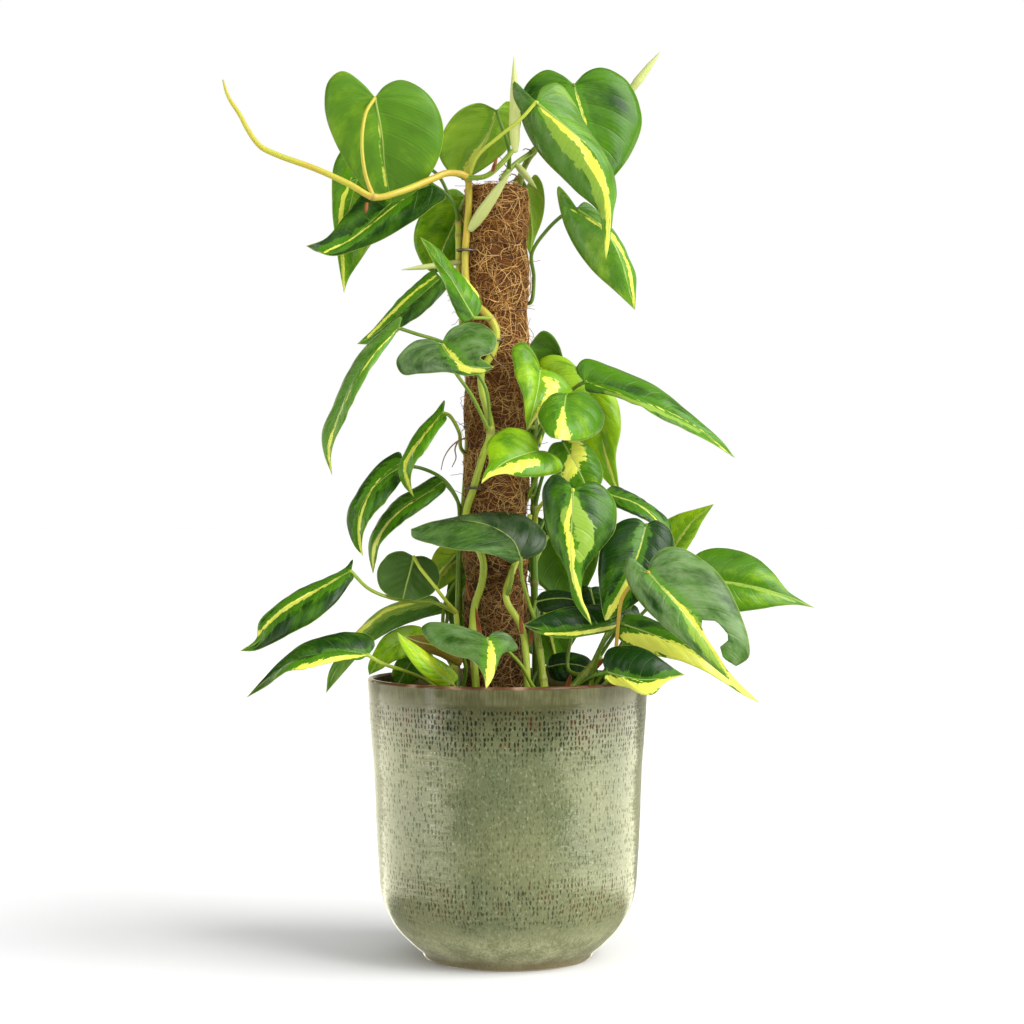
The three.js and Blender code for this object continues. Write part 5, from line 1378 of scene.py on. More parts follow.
def stalk(shape, leaf, tone):
    """A stalk with a wide root and a small joint under its blade."""
    path = Smooth(stalk_way(leaf)).spaced(STEM_STEP)
    rib = Smooth(route(leaf["rib"])).at([0.0, 0.012])
    path = np.vstack([path, rib[1]])
    share = np.linspace(0, 1, len(path))
    length = len(path) * STEM_STEP
    flare = np.exp(-share * length / 5)
    joint = np.exp(-(1 - share) * length / 2.5)
    radii = STALK_RADIUS * (0.92 + 0.55 * flare + 0.12 * joint)

    def channel(angle):
        return 1 - 0.12 * np.exp(-((angle - math.pi) / 0.5) ** 2)

    stain = stained(len(path), tone + 0.15 * flare, 0, 0)
    tube(shape, path, radii, STALK_SIDES, flat=channel, stain=stain)


def sheath(shape, way, radius, tone):
    """A pointed rolled leaf, with the fold of its edge along it."""
    share = np.linspace(0, 1, SHEATH_ROWS)
    path = Smooth(route(way)).at(share)
    profile = np.interp(share, [0, 0.12, 0.3, 0.65, 0.9, 1], [0.5, 0.84, 1, 0.74, 0.3, 0.05])
    shade = tone + 0.12 * np.sin(share * 5)

    def fold(angle):
        return 1 - 0.16 * np.exp(-((angle - 4.2) / 0.35) ** 2) + 0.05 * np.cos(2 * angle)

    stain = stained(SHEATH_ROWS, shade, 0, -1)
    tube(shape, path, radius * profile, SHEATH_SIDES, flat=fold, stain=stain)


def scrap(shape, place, ahead, outward, length, width, number):
    """A dry scrap of sheath, curled round a stem: a thin closed sheet with a torn end."""
    draw = np.random.default_rng(SEEDS["scrap"] + number)
    rows, columns = SCRAP_ROWS, SCRAP_COLUMNS
    s = np.linspace(0, 1, rows)[:, None]
    t = np.linspace(-1, 1, columns)[None, :]
    side = unit(np.cross(ahead, outward))
    torn = 1 - 0.55 * np.abs(noise_rows(SEEDS["torn"] + number, 1, 5, np.linspace(0, 1, columns))[0])
    reach = width * (0.55 + 0.45 * np.sin(np.pi * np.minimum(s * 0.9 + 0.1, 1)) ** 0.6) * (1 - 0.6 * s ** 3)
    curl = t * (1.0 + 0.5 * s) + draw.uniform(-0.2, 0.2)
    lift = 0.6 + 2.4 * s ** 2 * draw.uniform(0.4, 1)
    lift = lift + noise_rows(SEEDS["curl"] + number, rows, 3, t[0]) * 0.25
    across = reach * np.sin(curl)
    away = lift + reach * (np.cos(curl) - 0.4)
    grid = (place + ahead * (s * length * torn)[..., None] + side * across[..., None]
            + outward * away[..., None])
    sheet(shape, grid, SCRAP_THICKNESS, stain=stained(2 * rows * columns, 0.8, 1, 0))


def sheet(shape, grid, thickness, **values):
    """A thin closed sheet over a grid of places."""
    rows, columns = grid.shape[:2]
    first = np.gradient(grid, axis=0)
    second = np.gradient(grid, axis=1)
    normal = unit(np.cross(first, second)).reshape(-1, 3)
    flat = grid.reshape(-1, 3)
    count = len(flat)
    i, k = np.meshgrid(np.arange(rows - 1), np.arange(columns - 1), indexing="ij")
    a = i * columns + k
    b, c, d = a + columns, a + columns + 1, a + 1
    top = np.stack([np.stack([a, b, c], -1), np.stack([a, c, d], -1)], axis=2).reshape(-1, 3)
    shape.add(np.concatenate([flat + normal * thickness / 2, flat - normal * thickness / 2]),
              both_faces(top, count), stem=(0, 0, 0), **values)


def aerial_root(shape, start, direction, length, radius, number):
    """A short wandering root."""
    share = np.linspace(0, 1, ROOT_POINTS)
    sway = noise_rows(SEEDS["sway"] + number, 3, 3, share).T * length * 0.14 * share[:, None]
    path = start + unit(direction) * (share * length)[:, None] + sway
    tube(shape, path, radius * (1 - 0.6 * share), 6, stain=stained(len(share), 0.9, 2, 0))


# Thin roots beside the pole (column,row,depth), and scraps of sheath: place, length and width
THIN_ROOTS = [
    "466,438,-14 458,441,-18 450,448,-20 444,458,-22 441,470,-22",
    "458,441,-18 455,449,-20 456,458,-21 452,467,-22",
    "489,352,-24 497,362,-25 505,368,-25 512,377,-24",
    "500,505,-26 508,514,-27 511,526,-26",
]
SCRAPS = [
    ("480,636,-30", "474,596,-30", 18, 1.5), ("487,688,-31", "483,664,-31", 14, 1.9),
    ("522,634,-36", "519,606,-34", 12, 1.3), ("526,436,-22", "508,416,-24", 10, 1.4),
    ("594,668,-20", "616,650,-22", 13, 1.8), ("530,644,-30", "534,620,-30", 11, 1.3),
    ("492,172,-30", "498,156,-30", 9, 1.2), ("367,203,-55", "366,214,-56", 7, 1.1),
    ("470,600,-24", "466,578,-24", 14, 1.2), ("566,690,-30", "572,672,-30", 10, 1.6),
]


def stems(material):
    for name, vine in VINES.items():
        shape = Shape()
        own = {title: with_sides(leaf) for title, leaf in ALL_BLADES.items() if leaf["vine"] == name}
        roots = [stalk_way(leaf)[0] for leaf in own.values()]
        stem(shape, route(vine["path"]), vine["radius"], roots, STEM_TONES[name],
             STEM_TAPERS.get(name, STEM_TAPER))
        for radius, way in vine.get("shoots", []):
            stem(shape, route(way), radius, roots, SHOOT_TONES, SHOOT_TAPER)
        for number, (title, leaf) in enumerate(own.items()):
            draw = np.random.default_rng(SEEDS["stalk"] + number * 7 + len(own))
            stalk(shape, leaf, ALL_LOOKS[title].get("stalk", draw.uniform(*STALK_TONES)))
        for radius, way in vine.get("spikes", []):
            sheath(shape, way, radius, SHEATH_TONE)
        for number, root in enumerate(roots):
            draw = np.random.default_rng(SEEDS["root"] + number + 40 * len(name))
            inward = np.array([POLE_X, POLE_Y, root[2]]) - root
            if np.linalg.norm(inward) > POLE_NEAR:
                continue
            for _ in range(draw.integers(1, 4)):
                aim = unit(inward) + draw.uniform(-0.9, 0.9, 3)
                aerial_root(shape, root, aim, draw.uniform(*ROOT_LENGTHS), draw.uniform(*ROOT_RADII),
                            number * 5 + draw.integers(1000))
        if name == "front":
            extras(shape)
        shape.piece(f"stems_{name}", material, "stem", f"vine_{name}")


def extras(shape):
    """Thin roots and dry scraps that hang about the stems."""
    for way in THIN_ROOTS:
        path = Smooth(route(way)).spaced(1.2)
        tube(shape, path, np.linspace(0.55, 0.25, len(path)), 6, stain=stained(len(path), 0.9, 2, 0))
    for number, (foot, head, length, width) in enumerate(SCRAPS):
        start, end = route(foot)[0], route(head)[0]
        ahead = unit(end - start)
        outward = unit(np.cross(ahead, np.cross((0, -1, 0), ahead)))
        scrap(shape, start, ahead, outward, length, width, number)


# Pot

POT_SIDES = 192
GLAZE_SAGE = (0.186, 0.196, 0.092)
GLAZE_GREEN = (0.118, 0.138, 0.066)
GLAZE_OLIVE = (0.235, 0.240, 0.105)
GLAZE_FLECK = (0.360, 0.390, 0.240)
GLAZE_PIT = (0.012, 0.018, 0.008)
GLAZE_RUST = (0.055, 0.010, 0.003)
# Plain glaze, made lighter as a painted reflection of the floor
GLAZE_PLAIN_PAINTED_LIGHT = (0.440, 0.450, 0.250)
# Painted shade near the lip
GLAZE_PAINTED_TOP_SHADE = (0.036, 0.031, 0.008)
GLAZE_LIP = (0.090, 0.035, 0.012)
GLAZE_LIP_LIGHT = (0.360, 0.230, 0.150)
GLAZE_FOOT = (0.150, 0.110, 0.050)
GLAZE_INSIDE = (0.050, 0.042, 0.014)
GLAZE_INSIDE_LIGHT = (0.130, 0.115, 0.045)
BARE_CLAY = (0.420, 0.300, 0.190)
PITS_ROUND = 212
PIT_ROW = 3.05
OUT_OF_ROUND = 0.25
RIPPLE = 0.12
CLOSE_RINGS = 0.012
WIDE_RINGS = 0.05


def pot_finish():
    """Values: wall 1 on the outside and 0 on the inside."""
    f = Finish("sage_glaze", Roughness=0.11, IOR=1.52, Coat_Roughness=0.05)
    spot = f.place()
    x, y, z = spot
    outer, _, _ = f.value("wall")
    angle = f.math("ARCTAN2", x, f.times(y, -1.0))
    broad = f.noise(spot, scale=0.022)
    cloud = f.noise(spot, (1, 1, 1.6), scale=0.07, detail=3.0)
    runs = f.noise(spot, (1, 1, 0.12), scale=0.75, detail=3.0, rough=0.6)
    turns = f.noise(spot, (0.26, 0.26, 1), scale=0.42)
    grain = f.noise(spot, (1, 1, 0.42), scale=1.05, rough=0.6)
    grit = f.noise(spot, (1, 1, 0.8), scale=0.62, detail=3.0, rough=0.65)

    column = f.plus(f.times(angle, PITS_ROUND / math.tau), f.times(grit, 0.13))
    row = f.plus(f.math("DIVIDE", z, PIT_ROW), f.times(grain, 0.16))
    cell = f.vector(f.math("FLOOR", column), f.math("FLOOR", row), 0.0)
    chance = f.nodes.new("ShaderNodeTexWhiteNoise")
    f.put(chance.inputs["Vector"], cell)
    lot, aside, size = f.axes(chance.outputs["Color"])
    gap_x = f.plus(f.math("FRACT", column), f.math("MULTIPLY_ADD", aside, 0.44, -0.72))
    gap_z = f.plus(f.math("FRACT", row), f.math("MULTIPLY_ADD", lot, 0.4, -0.7))
    near = f.math("SQRT", f.plus(f.math("POWER", f.math("ABSOLUTE", f.times(gap_x, 1.9)), 2.0),
                                 f.math("POWER", f.math("ABSOLUTE", f.times(gap_z, 1.15)), 2.0)))
    near = f.plus(near, f.plus(f.times(grain, 0.14), f.times(size, 0.34)))
    height_shift = f.plus(z, f.times(cloud, 5.0))
    upper = f.times(f.step(z, 157.5, 154.5), f.step(height_shift, 118.0, 140.0))
    lower = f.times(f.step(height_shift, 62.0, 50.0), f.step(height_shift, 24.0, 38.0))
    band = f.math("MAXIMUM", upper, f.times(lower, 0.62))
    pitted = f.times(f.step(z, 157.5, 154.5), f.step(height_shift, 18.0, 34.0))
    often = f.plus(f.times(band, 0.42), f.plus(f.times(pitted, 0.5), f.times(cloud, 0.14)))
    present = f.step(f.math("SUBTRACT", often, lot), 0.0, 0.1)
    pit = f.times(present, f.step(near, 0.76, 0.42))
    depth = f.plus(0.27, f.times(band, 0.68))
    clusters = f.plus(broad, f.times(f.noise(spot, (1, 1, 0.6), scale=0.09), 0.9))
    rusty = f.times(f.step(f.plus(clusters, f.times(aside, 0.8)), 0.35, 0.7), f.step(band, 0.3, 0.6))

    colour = f.mix(f.step(broad, -0.9, 0.9), GLAZE_GREEN, GLAZE_SAGE)
    # Painted reflection: the flanks to the left and right, as seen from the front, turn a little lighter
    # olive, standing in for side light on the glaze.
    side = f.step(f.plus(f.math("ABSOLUTE", f.plus(x, -4.0)), f.times(broad, 14.0)), 24.0, 62.0)
    colour = f.mix(f.times(side, 0.1), colour, GLAZE_OLIVE)
    colour = f.mix(f.times(f.step(runs, -0.2, 1.2), 0.35), colour, GLAZE_GREEN)
    colour = f.mix(f.times(f.step(turns, 0.1, 1.3), 0.3), colour, GLAZE_OLIVE)
    light = f.step(f.plus(grit, f.times(grain, 0.5)), 0.1, 1.3)
    colour = f.mix(f.times(light, 0.62), colour, GLAZE_FLECK)
    # Painted shade: towards the lip the glaze turns dark, standing in for the shade and dark reflections
    # under the leaves.
    painted_top_shade = f.times(f.step(height_shift, 122.0, 162.0), 0.74)
    colour = f.mix(painted_top_shade, colour, GLAZE_PAINTED_TOP_SHADE)
    threads = f.step(f.plus(grain, f.times(runs, 0.35)), -0.15, -1.2)
    colour = f.mix(f.times(threads, f.plus(0.3, f.times(pitted, 0.5))), colour, GLAZE_PIT)
    colour = f.mix(f.times(pit, depth), colour, f.mix(rusty, GLAZE_PIT, GLAZE_RUST))
    # The smooth bands by the lip and the foot are plain glaze; its light colour is partly painted, a
    # painted reflection of the white floor on the lower curve.
    smooth_band = f.plus(f.step(z, 157.0, 160.0), f.step(height_shift, 32.0, 18.0))
    plain = f.mix(f.step(f.plus(runs, cloud), -1.0, 1.5), GLAZE_SAGE, GLAZE_PLAIN_PAINTED_LIGHT)
    plain = f.mix(painted_top_shade, plain, GLAZE_PAINTED_TOP_SHADE)
    colour = f.mix(f.times(smooth_band, 0.85), colour, plain)
    colour = f.mix(f.times(f.step(f.plus(z, f.times(cloud, 2.0)), 12.0, 3.0), 0.7), colour, GLAZE_FOOT)
    lip = f.step(f.plus(z, f.times(cloud, 0.25)), 167.0, 167.9)
    inside_tone = f.mix(f.step(cloud, -1.0, 1.0), GLAZE_INSIDE, GLAZE_INSIDE_LIGHT)
    colour = f.mix(f.step(outer, 0.6, 0.4), colour, inside_tone)
    colour = f.mix(lip, colour, f.mix(f.step(cloud, -0.2, 1.4), GLAZE_LIP, GLAZE_LIP_LIGHT))
    colour = f.mix(f.step(z, 1.4, 0.6), colour, BARE_CLAY)
    f.set(Base_Color=colour)
    shine = f.times(f.times(outer, f.step(z, 165.0, 150.0)), f.math("MULTIPLY_ADD", pit, -0.95, 1.0))
    shine = f.plus(f.times(shine, 0.75), f.times(outer, 0.25))
    f.set(Coat_Weight=f.times(shine, 0.3), Specular_IOR_Level=f.times(shine, 0.5))
    textured = f.math("SUBTRACT", 1.0, f.times(f.math("MINIMUM", smooth_band, 1.0), 0.8))
    height = f.plus(f.times(pit, -0.07), f.plus(f.times(runs, 0.005), f.times(turns, 0.045)))
    height = f.plus(height, f.plus(f.times(grain, 0.007), f.times(grit, 0.012)))
    f.set(Normal=f.relief(f.times(height, textured), 0.9))
    return f.material


def pot(material):
    """The glazed pot, a thrown shell a little out of true, with a rounded lip and foot."""
    outside = Smooth(POT_OUTSIDE).spaced(1.8)
    foot = [(AXIS_GAP, 0.6), (44, 0.6), (46, 0), (48.6, 0), (50.1, 0.5), (51.2, 1.6), (51.6, 2.6),
            (52.4, 4.2), (55.6, 6.4)]
    lip = [(LIP_RADIUS - 0.5, POT_HEIGHT - 0.2), (LIP_RADIUS - 1.2, POT_HEIGHT),
           (LIP_RADIUS - 2.5, POT_HEIGHT), (LIP_RADIUS - 3.3, POT_HEIGHT - 0.4)]
    inner = [(LIP_RADIUS - 3.8, POT_HEIGHT - 1.4), (80, 160), (78.6, 145), (76.4, 114), (74.5, 71),
             (71.8, 38.5), (68.2, 27.6), (62.5, 18), (57, 10.5), (52, 7.4), (44, FLOOR_THICKNESS),
             (AXIS_GAP, FLOOR_THICKNESS)]
    lip_edge = np.array([(LIP_RADIUS - 0.05, POT_HEIGHT - 1.0)])
    profile = np.vstack([foot, outside[:-1], lip_edge, lip, Smooth(inner).spaced(4)])

    def unevenness(radius, height, angle):
        rise = np.clip(height / POT_HEIGHT, 0, 1)
        out = OUT_OF_ROUND * np.sin(2 * angle + 0.6) * rise + RIPPLE * np.sin(5 * angle + height * 0.03)
        rings = CLOSE_RINGS * np.sin(height * 0.9) + WIDE_RINGS * np.sin(height * 0.31 + 2 * angle)
        share = np.clip(radius / 40, 0, 1) * smooth_step(height, 0, 8)
        return radius + (out + rings) * share - 0.3 * share, height

    shape = Shape()
    outside_rows = len(foot) + len(outside) - 1 + len(lip_edge) + len(lip)
    outward = np.repeat(np.arange(len(profile)) < outside_rows, POT_SIDES)
    turned(shape, profile, POT_SIDES, bump=unevenness, wall=outward[:, None])
    shape.piece("pot_glazed", material, "glaze", "pot")


# Soil

SOIL_ROUND = 160
SOIL_RINGS = 60
SOIL_TOP_RADIUS = 76.5
BED_FLOOR = 8
CRUMBS = 1500
CRUMB_REACH = 76
CRUMB_ROWS = 5
CRUMB_SIDES = 7
CRUMB_MOST = 3.4
CRUMB_LIFT = 0.25


def soil_finish():
    f = Finish("potting_soil", IOR=1.3)
    spot = f.place()
    coarse = f.noise(spot, scale=0.35, detail=4.0, rough=0.65)
    fine = f.noise(spot, scale=1.8, detail=3.0, rough=0.7)
    colour = f.ramp(f.plus(coarse, f.times(fine, 0.6)), (-1.4, (0.012, 0.007, 0.004)),
                    (0.2, (0.040, 0.022, 0.012)), (1.6, (0.120, 0.066, 0.034)))
    colour = f.mix(f.step(fine, 1.2, 1.5), colour, (0.250, 0.200, 0.150))
    f.set(Base_Color=colour)
    f.set(Roughness=f.math("MULTIPLY_ADD", coarse, 0.06, 0.9))
    f.set(Normal=f.relief(f.plus(f.times(coarse, 0.5), f.times(fine, 0.2))))
    return f.material


def soil_height(x, y):
    wave = np.sin(x * 0.13 + 1) * np.cos(y * 0.11) + 0.6 * np.sin(x * 0.31 - y * 0.27)
    grain = np.sin(x * 0.9 + 2 * np.sin(y * 0.5)) * np.sin(y * 0.8 + 2 * np.sin(x * 0.4))
    return SOIL_LEVEL + SOIL_RELIEF * wave + 0.5 * grain


def soil(material):
    """The bed of soil, crumbly on top, and loose crumbs and pale grit on it."""
    wall = [(50, BED_FLOOR), (55.8, 12), (62, 20), (68.5, 32), (71, 42), (73.2, 71), (75, 114), (77, 148)]
    top = [(r, SOIL_LEVEL) for r in np.linspace(SOIL_TOP_RADIUS, AXIS_GAP, SOIL_RINGS)]
    profile = np.vstack([[(AXIS_GAP, BED_FLOOR)], wall, top])

    def crumble(radius, height, angle):
        lifted = soil_height(radius * np.cos(angle), radius * np.sin(angle))
        return radius, np.where(height > SOIL_LEVEL - 1, lifted, height)

    bed = Shape()
    turned(bed, profile, SOIL_ROUND, bump=crumble)
    bed.piece("soil_bed", material, "soil", "soil")

    draw = np.random.default_rng(SEEDS["crumbs"])
    lumps = Shape()
    angle = draw.uniform(0, math.tau, CRUMBS)
    radius = CRUMB_REACH * np.sqrt(draw.uniform(0.02, 1, CRUMBS))
    x, y = radius * np.cos(angle), radius * np.sin(angle)
    kept = np.hypot(x - POLE_X, y - POLE_Y) > POLE_RADIUS + 2
    size = draw.gamma(3.0, 0.42, CRUMBS) + 0.5
    for centre_x, centre_y, half in zip(x[kept], y[kept], np.minimum(size[kept], CRUMB_MOST)):
        latitude = np.linspace(-1, 1, CRUMB_ROWS + 2)[1:-1] * math.pi / 2
        rough = draw.uniform(0.72, 1.2, (CRUMB_ROWS, CRUMB_SIDES))
        turn = draw.uniform(0, math.tau) + np.arange(CRUMB_SIDES) / CRUMB_SIDES * math.tau
        stretch = draw.uniform(0.55, 1.45, 3)
        ball = np.stack([np.cos(latitude)[:, None] * np.cos(turn) * rough,
                         np.cos(latitude)[:, None] * np.sin(turn) * rough,
                         np.sin(latitude)[:, None] * rough], -1) * stretch * half
        spin = draw.uniform(0, math.tau)
        tilt = draw.uniform(-0.9, 0.9)
        turned_x = ball[..., 0] * math.cos(spin) - ball[..., 1] * math.sin(spin)
        turned_y = ball[..., 0] * math.sin(spin) + ball[..., 1] * math.cos(spin)
        lifted = ball[..., 2] * math.cos(tilt) + turned_x * math.sin(tilt)
        turned_x = turned_x * math.cos(tilt) - ball[..., 2] * math.sin(tilt)
        level = soil_height(centre_x, centre_y)
        lifted = level + lifted + half * CRUMB_LIFT
        rings = np.stack([centre_x + turned_x, centre_y + turned_y, lifted], -1)
        ends = np.array([rings[0].mean(axis=0), rings[-1].mean(axis=0)])
        lumps.add(np.concatenate([rings.reshape(-1, 3), ends]), ring_triangles(CRUMB_ROWS, CRUMB_SIDES))
    lumps.piece("soil_crumbs", material, "soil", "soil", smooth=False)


# Pole

COIR_DARK = (0.040, 0.015, 0.005)
# Painted shade in the gaps between fibres
COIR_PAINTED_GAP_SHADE = (0.022, 0.008, 0.003)
COIR_BED = (0.210, 0.072, 0.014)
COIR_RED = (0.250, 0.086, 0.016)
COIR_BROWN = (0.520, 0.235, 0.045)
COIR_TAN = (0.880, 0.560, 0.190)
COIR_SIDES = 150
COIR_RINGS = 210
FIBRES = 2900
FIBRE_POINTS = 8
FIBRE_LENGTHS = (7, 24)
FIBRE_RADII = (0.1, 0.31)
FIBRE_DEPTHS = (-0.45, 0.75)
LOOSE_SHARE = 0.09
LOOSE_DEPTHS = (0.6, 2.6)
BINDINGS = 8
BINDING_POINTS = 90
BINDING_RADIUS = 0.42
HAIR_POINTS = 10
LOOSE_HAIRS = 90
LOOSE_LENGTHS = (8, 22)
LOWEST_HAIR = 190
TOP_HAIRS = 260
TOP_LENGTHS = (5, 13)
TOP_RADII = (0.16, 0.3)


def coir_finish():
    """Values: strand tone, seed, 1 on a fibre."""
    f = Finish("coir_fibre", IOR=1.4)
    tone, _, fibre = f.value("strand")
    spot = f.place()
    grain = f.noise(spot, scale=0.9, detail=4.0, rough=0.65)
    # The pole turns darker towards the bottom.
    lower_darkening = f.step(f.plus(spot[2], f.times(grain, 12.0)), 330.0, 165.0)
    colour = f.ramp(f.plus(tone, f.times(grain, 0.1)), (0.0, COIR_DARK), (0.35, COIR_RED),
                    (0.65, COIR_BROWN), (1.0, COIR_TAN))
    # The body between the fibres is darkened towards near black: painted shade in the gaps of the mat.
    bed = f.ramp(grain, (-1.2, COIR_PAINTED_GAP_SHADE), (1.0, COIR_BED))
    colour = f.mix(f.step(fibre, 0.2, 0.8), bed, colour)
    colour = f.mix(f.times(lower_darkening, 0.6), colour, f.mix(0.6, colour, (0.012, 0.006, 0.003)))
    f.set(Base_Color=colour)
    f.set(Roughness=f.math("MULTIPLY_ADD", fibre, -0.3, 0.9))
    f.set(Normal=f.relief(f.times(grain, 0.4), 0.8))
    return f.material


def sleeve_radius(z):
    phase = (TOP_BINDING - z) / BINDING_PITCH * math.pi
    return POLE_RADIUS + POLE_BULGE * (2 * np.abs(np.sin(phase)) ** 0.7 - 1)


def fibres(number, low, high, material):
    """A mat of curly fibres wound and matted round the pole between two heights."""
    draw = np.random.default_rng(SEEDS["fibres"] + number)
    share = np.linspace(0, 1, FIBRE_POINTS)
    count = FIBRES
    length = draw.uniform(*FIBRE_LENGTHS, count)
    start = draw.uniform(0, math.tau, count)
    height = draw.uniform(low, high, count)
    lean = draw.normal(0, 0.9, count)
    curl = draw.normal(0, 1.0, count)
    bend = lean[:, None] + curl[:, None] * share
    bend = bend + noise_rows(SEEDS["fibre_bend"] + number, count, 3, share) * 0.5
    step = length[:, None] / (FIBRE_POINTS - 1)
    way = draw.choice((-1.0, 1.0), count)[:, None]
    rise = np.cumsum(np.sin(bend) * step, axis=1)
    turn = np.cumsum(np.cos(bend) * step, axis=1) * way / POLE_RADIUS
    z = np.clip(height[:, None] + rise, POLE_FOOT + 2, POLE_TOP + 2.4)
    depth = draw.uniform(*FIBRE_DEPTHS, count)[:, None]
    depth = depth + noise_rows(SEEDS["fibre_depth"] + number, count, 2, share) * 0.35
    loose = draw.uniform(0, 1, count) < LOOSE_SHARE
    depth = depth + np.where(loose, draw.uniform(*LOOSE_DEPTHS, count), 0)[:, None] * share[None, :] ** 2
    over = np.maximum(z - POLE_TOP + 1, 0)
    reach = sleeve_radius(np.minimum(z, POLE_TOP - 0.4)) + depth - 0.1 - 1.6 * over
    angle = start[:, None] + turn
    paths = np.stack([POLE_X + reach * np.cos(angle), POLE_Y + reach * np.sin(angle), z], -1)
    thick = draw.uniform(*FIBRE_RADII, count)[:, None] * (1 - 0.5 * np.abs(2 * share - 1) ** 4)
    tone = np.clip(draw.normal(0.72, 0.32, count), 0.02, 1)
    value = np.stack([tone, draw.uniform(0, 1, count), np.ones(count)], -1)
    shape = Shape()
    strands(shape, paths, thick, 3, strand=value)
    shape.piece(f"coir_fibres_{number}", material, "coir", "coir_sleeve")


def coir(material):
    """The matted body of the pole, its binding threads, loose hairs and the fuzz on its top."""
    heights = np.linspace(POLE_TOP, POLE_FOOT, COIR_RINGS)
    bore = CORE_RADIUS + 0.4
    rim = [(bore + 0.6, POLE_TOP + 0.3), (bore + 4, POLE_TOP + 0.9), (POLE_RADIUS - 3, POLE_TOP + 0.6)]
    outer = [(sleeve_radius(z) - 0.55, z) for z in heights]
    profile = np.vstack([[(bore, POLE_FOOT), (bore, POLE_TOP - 0.5)], rim, outer])

    def matted(radius, height, angle):
        grain = (np.sin(angle * 37 + height * 0.8) + np.sin(angle * 23 - height * 1.3 + 1)
                 + np.sin(angle * 61 + height * 0.35))
        outside = radius > POLE_RADIUS - 4
        return radius + np.where(outside, 0.16 * grain, 0), height

    body = Shape()
    turned(body, profile[::-1], COIR_SIDES, bump=matted, centre=(POLE_X, POLE_Y), strand=(0.3, 0, 0))
    body.piece("coir_body", material, "coir", "coir_sleeve")
    fibre_middle = (POLE_FOOT + POLE_TOP) / 2
    fibres(0, POLE_FOOT + 8, fibre_middle, material)
    fibres(1, fibre_middle, POLE_TOP, material)

    draw = np.random.default_rng(SEEDS["threads"])
    extra = Shape()
    around = np.linspace(0, 1, BINDING_POINTS)
    for k in range(BINDINGS):
        z = TOP_BINDING - BINDING_PITCH * k
        wander = noise_rows(SEEDS["binding"] + k, 2, 3, around)
        level = z + 0.5 * wander[0] + 1.2 * np.sin(around * math.tau + k)
        reach = sleeve_radius(z) + 0.75 + 0.15 * wander[1]
        angle = around * math.tau * 1.03 + k
        path = np.stack([POLE_X + reach * np.cos(angle), POLE_Y + reach * np.sin(angle), level], -1)
        tube(extra, path, BINDING_RADIUS, 6, strand=stained(len(path), 0.16, 0.5, 1))
    share = np.linspace(0, 1, HAIR_POINTS)
    for number in range(LOOSE_HAIRS):
        angle = draw.uniform(0, math.tau)
        z = draw.uniform(LOWEST_HAIR, POLE_TOP - 2)
        outward = np.array([math.cos(angle), math.sin(angle), 0])
        along = np.array([-math.sin(angle), math.cos(angle), draw.uniform(-1, 1)])
        length = draw.uniform(*LOOSE_LENGTHS)
        base = np.array([POLE_X, POLE_Y, z]) + outward * (sleeve_radius(z) - 0.5)
        sway = noise_rows(SEEDS["hair"] + number, 3, 3, share).T * length * 0.1 * share[:, None]
        path = (base + unit(along) * (share * length)[:, None]
                + outward * (share ** 1.5 * length * draw.uniform(0.15, 0.55))[:, None] + sway)
        path[:, 2] = np.minimum(path[:, 2], POLE_TOP + 3)
        strand = stained(len(share), draw.uniform(0.1, 0.7), 0.3, 1)
        tube(extra, path, 0.16 * (1 - 0.5 * share) + 0.05, 4, strand=strand)
    for number in range(TOP_HAIRS):
        angle = draw.uniform(0, math.tau)
        radius = draw.uniform(CORE_RADIUS + 1.2, POLE_RADIUS - 0.5)
        heading = draw.uniform(0, math.tau)
        length = draw.uniform(*TOP_LENGTHS)
        spot = np.array([POLE_X + radius * math.cos(angle), POLE_Y + radius * math.sin(angle),
                         POLE_TOP + 0.5])
        aim = np.array([math.cos(heading), math.sin(heading), 0])
        sway = noise_rows(SEEDS["fuzz"] + number, 3, 2, share).T * 0.9
        path = spot + aim * ((share - 0.5) * length)[:, None] + sway * (0.9, 0.9, 0.35)
        gap = path[:, :2] - (POLE_X, POLE_Y)
        reach = np.linalg.norm(gap, axis=1)
        held = np.clip(reach, CORE_RADIUS + 0.8, POLE_RADIUS + 0.8)
        path[:, :2] = gap / reach[:, None] * held[:, None] + (POLE_X, POLE_Y)
        path[:, 2] -= np.maximum(held - POLE_RADIUS + 2.5, 0) ** 2 * 0.25
        thickness = draw.uniform(*TOP_RADII)
        tube(extra, path, thickness, 4, strand=stained(len(share), draw.uniform(0.2, 0.95), 0.3, 1))
    extra.piece("coir_threads", material, "coir", "coir_sleeve")


def wood_finish():
    f = Finish("pole_wood", IOR=1.4, Roughness=0.75)
    spot = f.place()
    gap_x = f.math("SUBTRACT", spot[0], float(POLE_X))
    gap_y = f.math("SUBTRACT", spot[1], float(POLE_Y))
    radius = f.math("SQRT", f.plus(f.times(gap_x, gap_x), f.times(gap_y, gap_y)))
    warp = f.noise(spot, (1, 1, 0.05), scale=0.5, detail=3.0)
    rings = f.math("SINE", f.times(f.plus(radius, f.times(warp, 0.5)), 4.2))
    colour = f.ramp(rings, (-1.0, (0.420, 0.270, 0.130)), (1.0, (0.600, 0.430, 0.240)))
    f.set(Base_Color=colour)
    f.set(Normal=f.relief(f.times(rings, 0.08)))
    return f.material


def wire_finish():
    f = Finish("pin_wire", Metallic=0.85, IOR=1.5)
    rust = f.noise(f.place(), scale=0.8, detail=3.0)
    f.set(Base_Color=f.ramp(rust, (-0.6, (0.110, 0.105, 0.095)), (1.2, (0.240, 0.190, 0.140))))
    f.set(Roughness=f.math("MULTIPLY_ADD", rust, 0.08, 0.42))
    return f.material


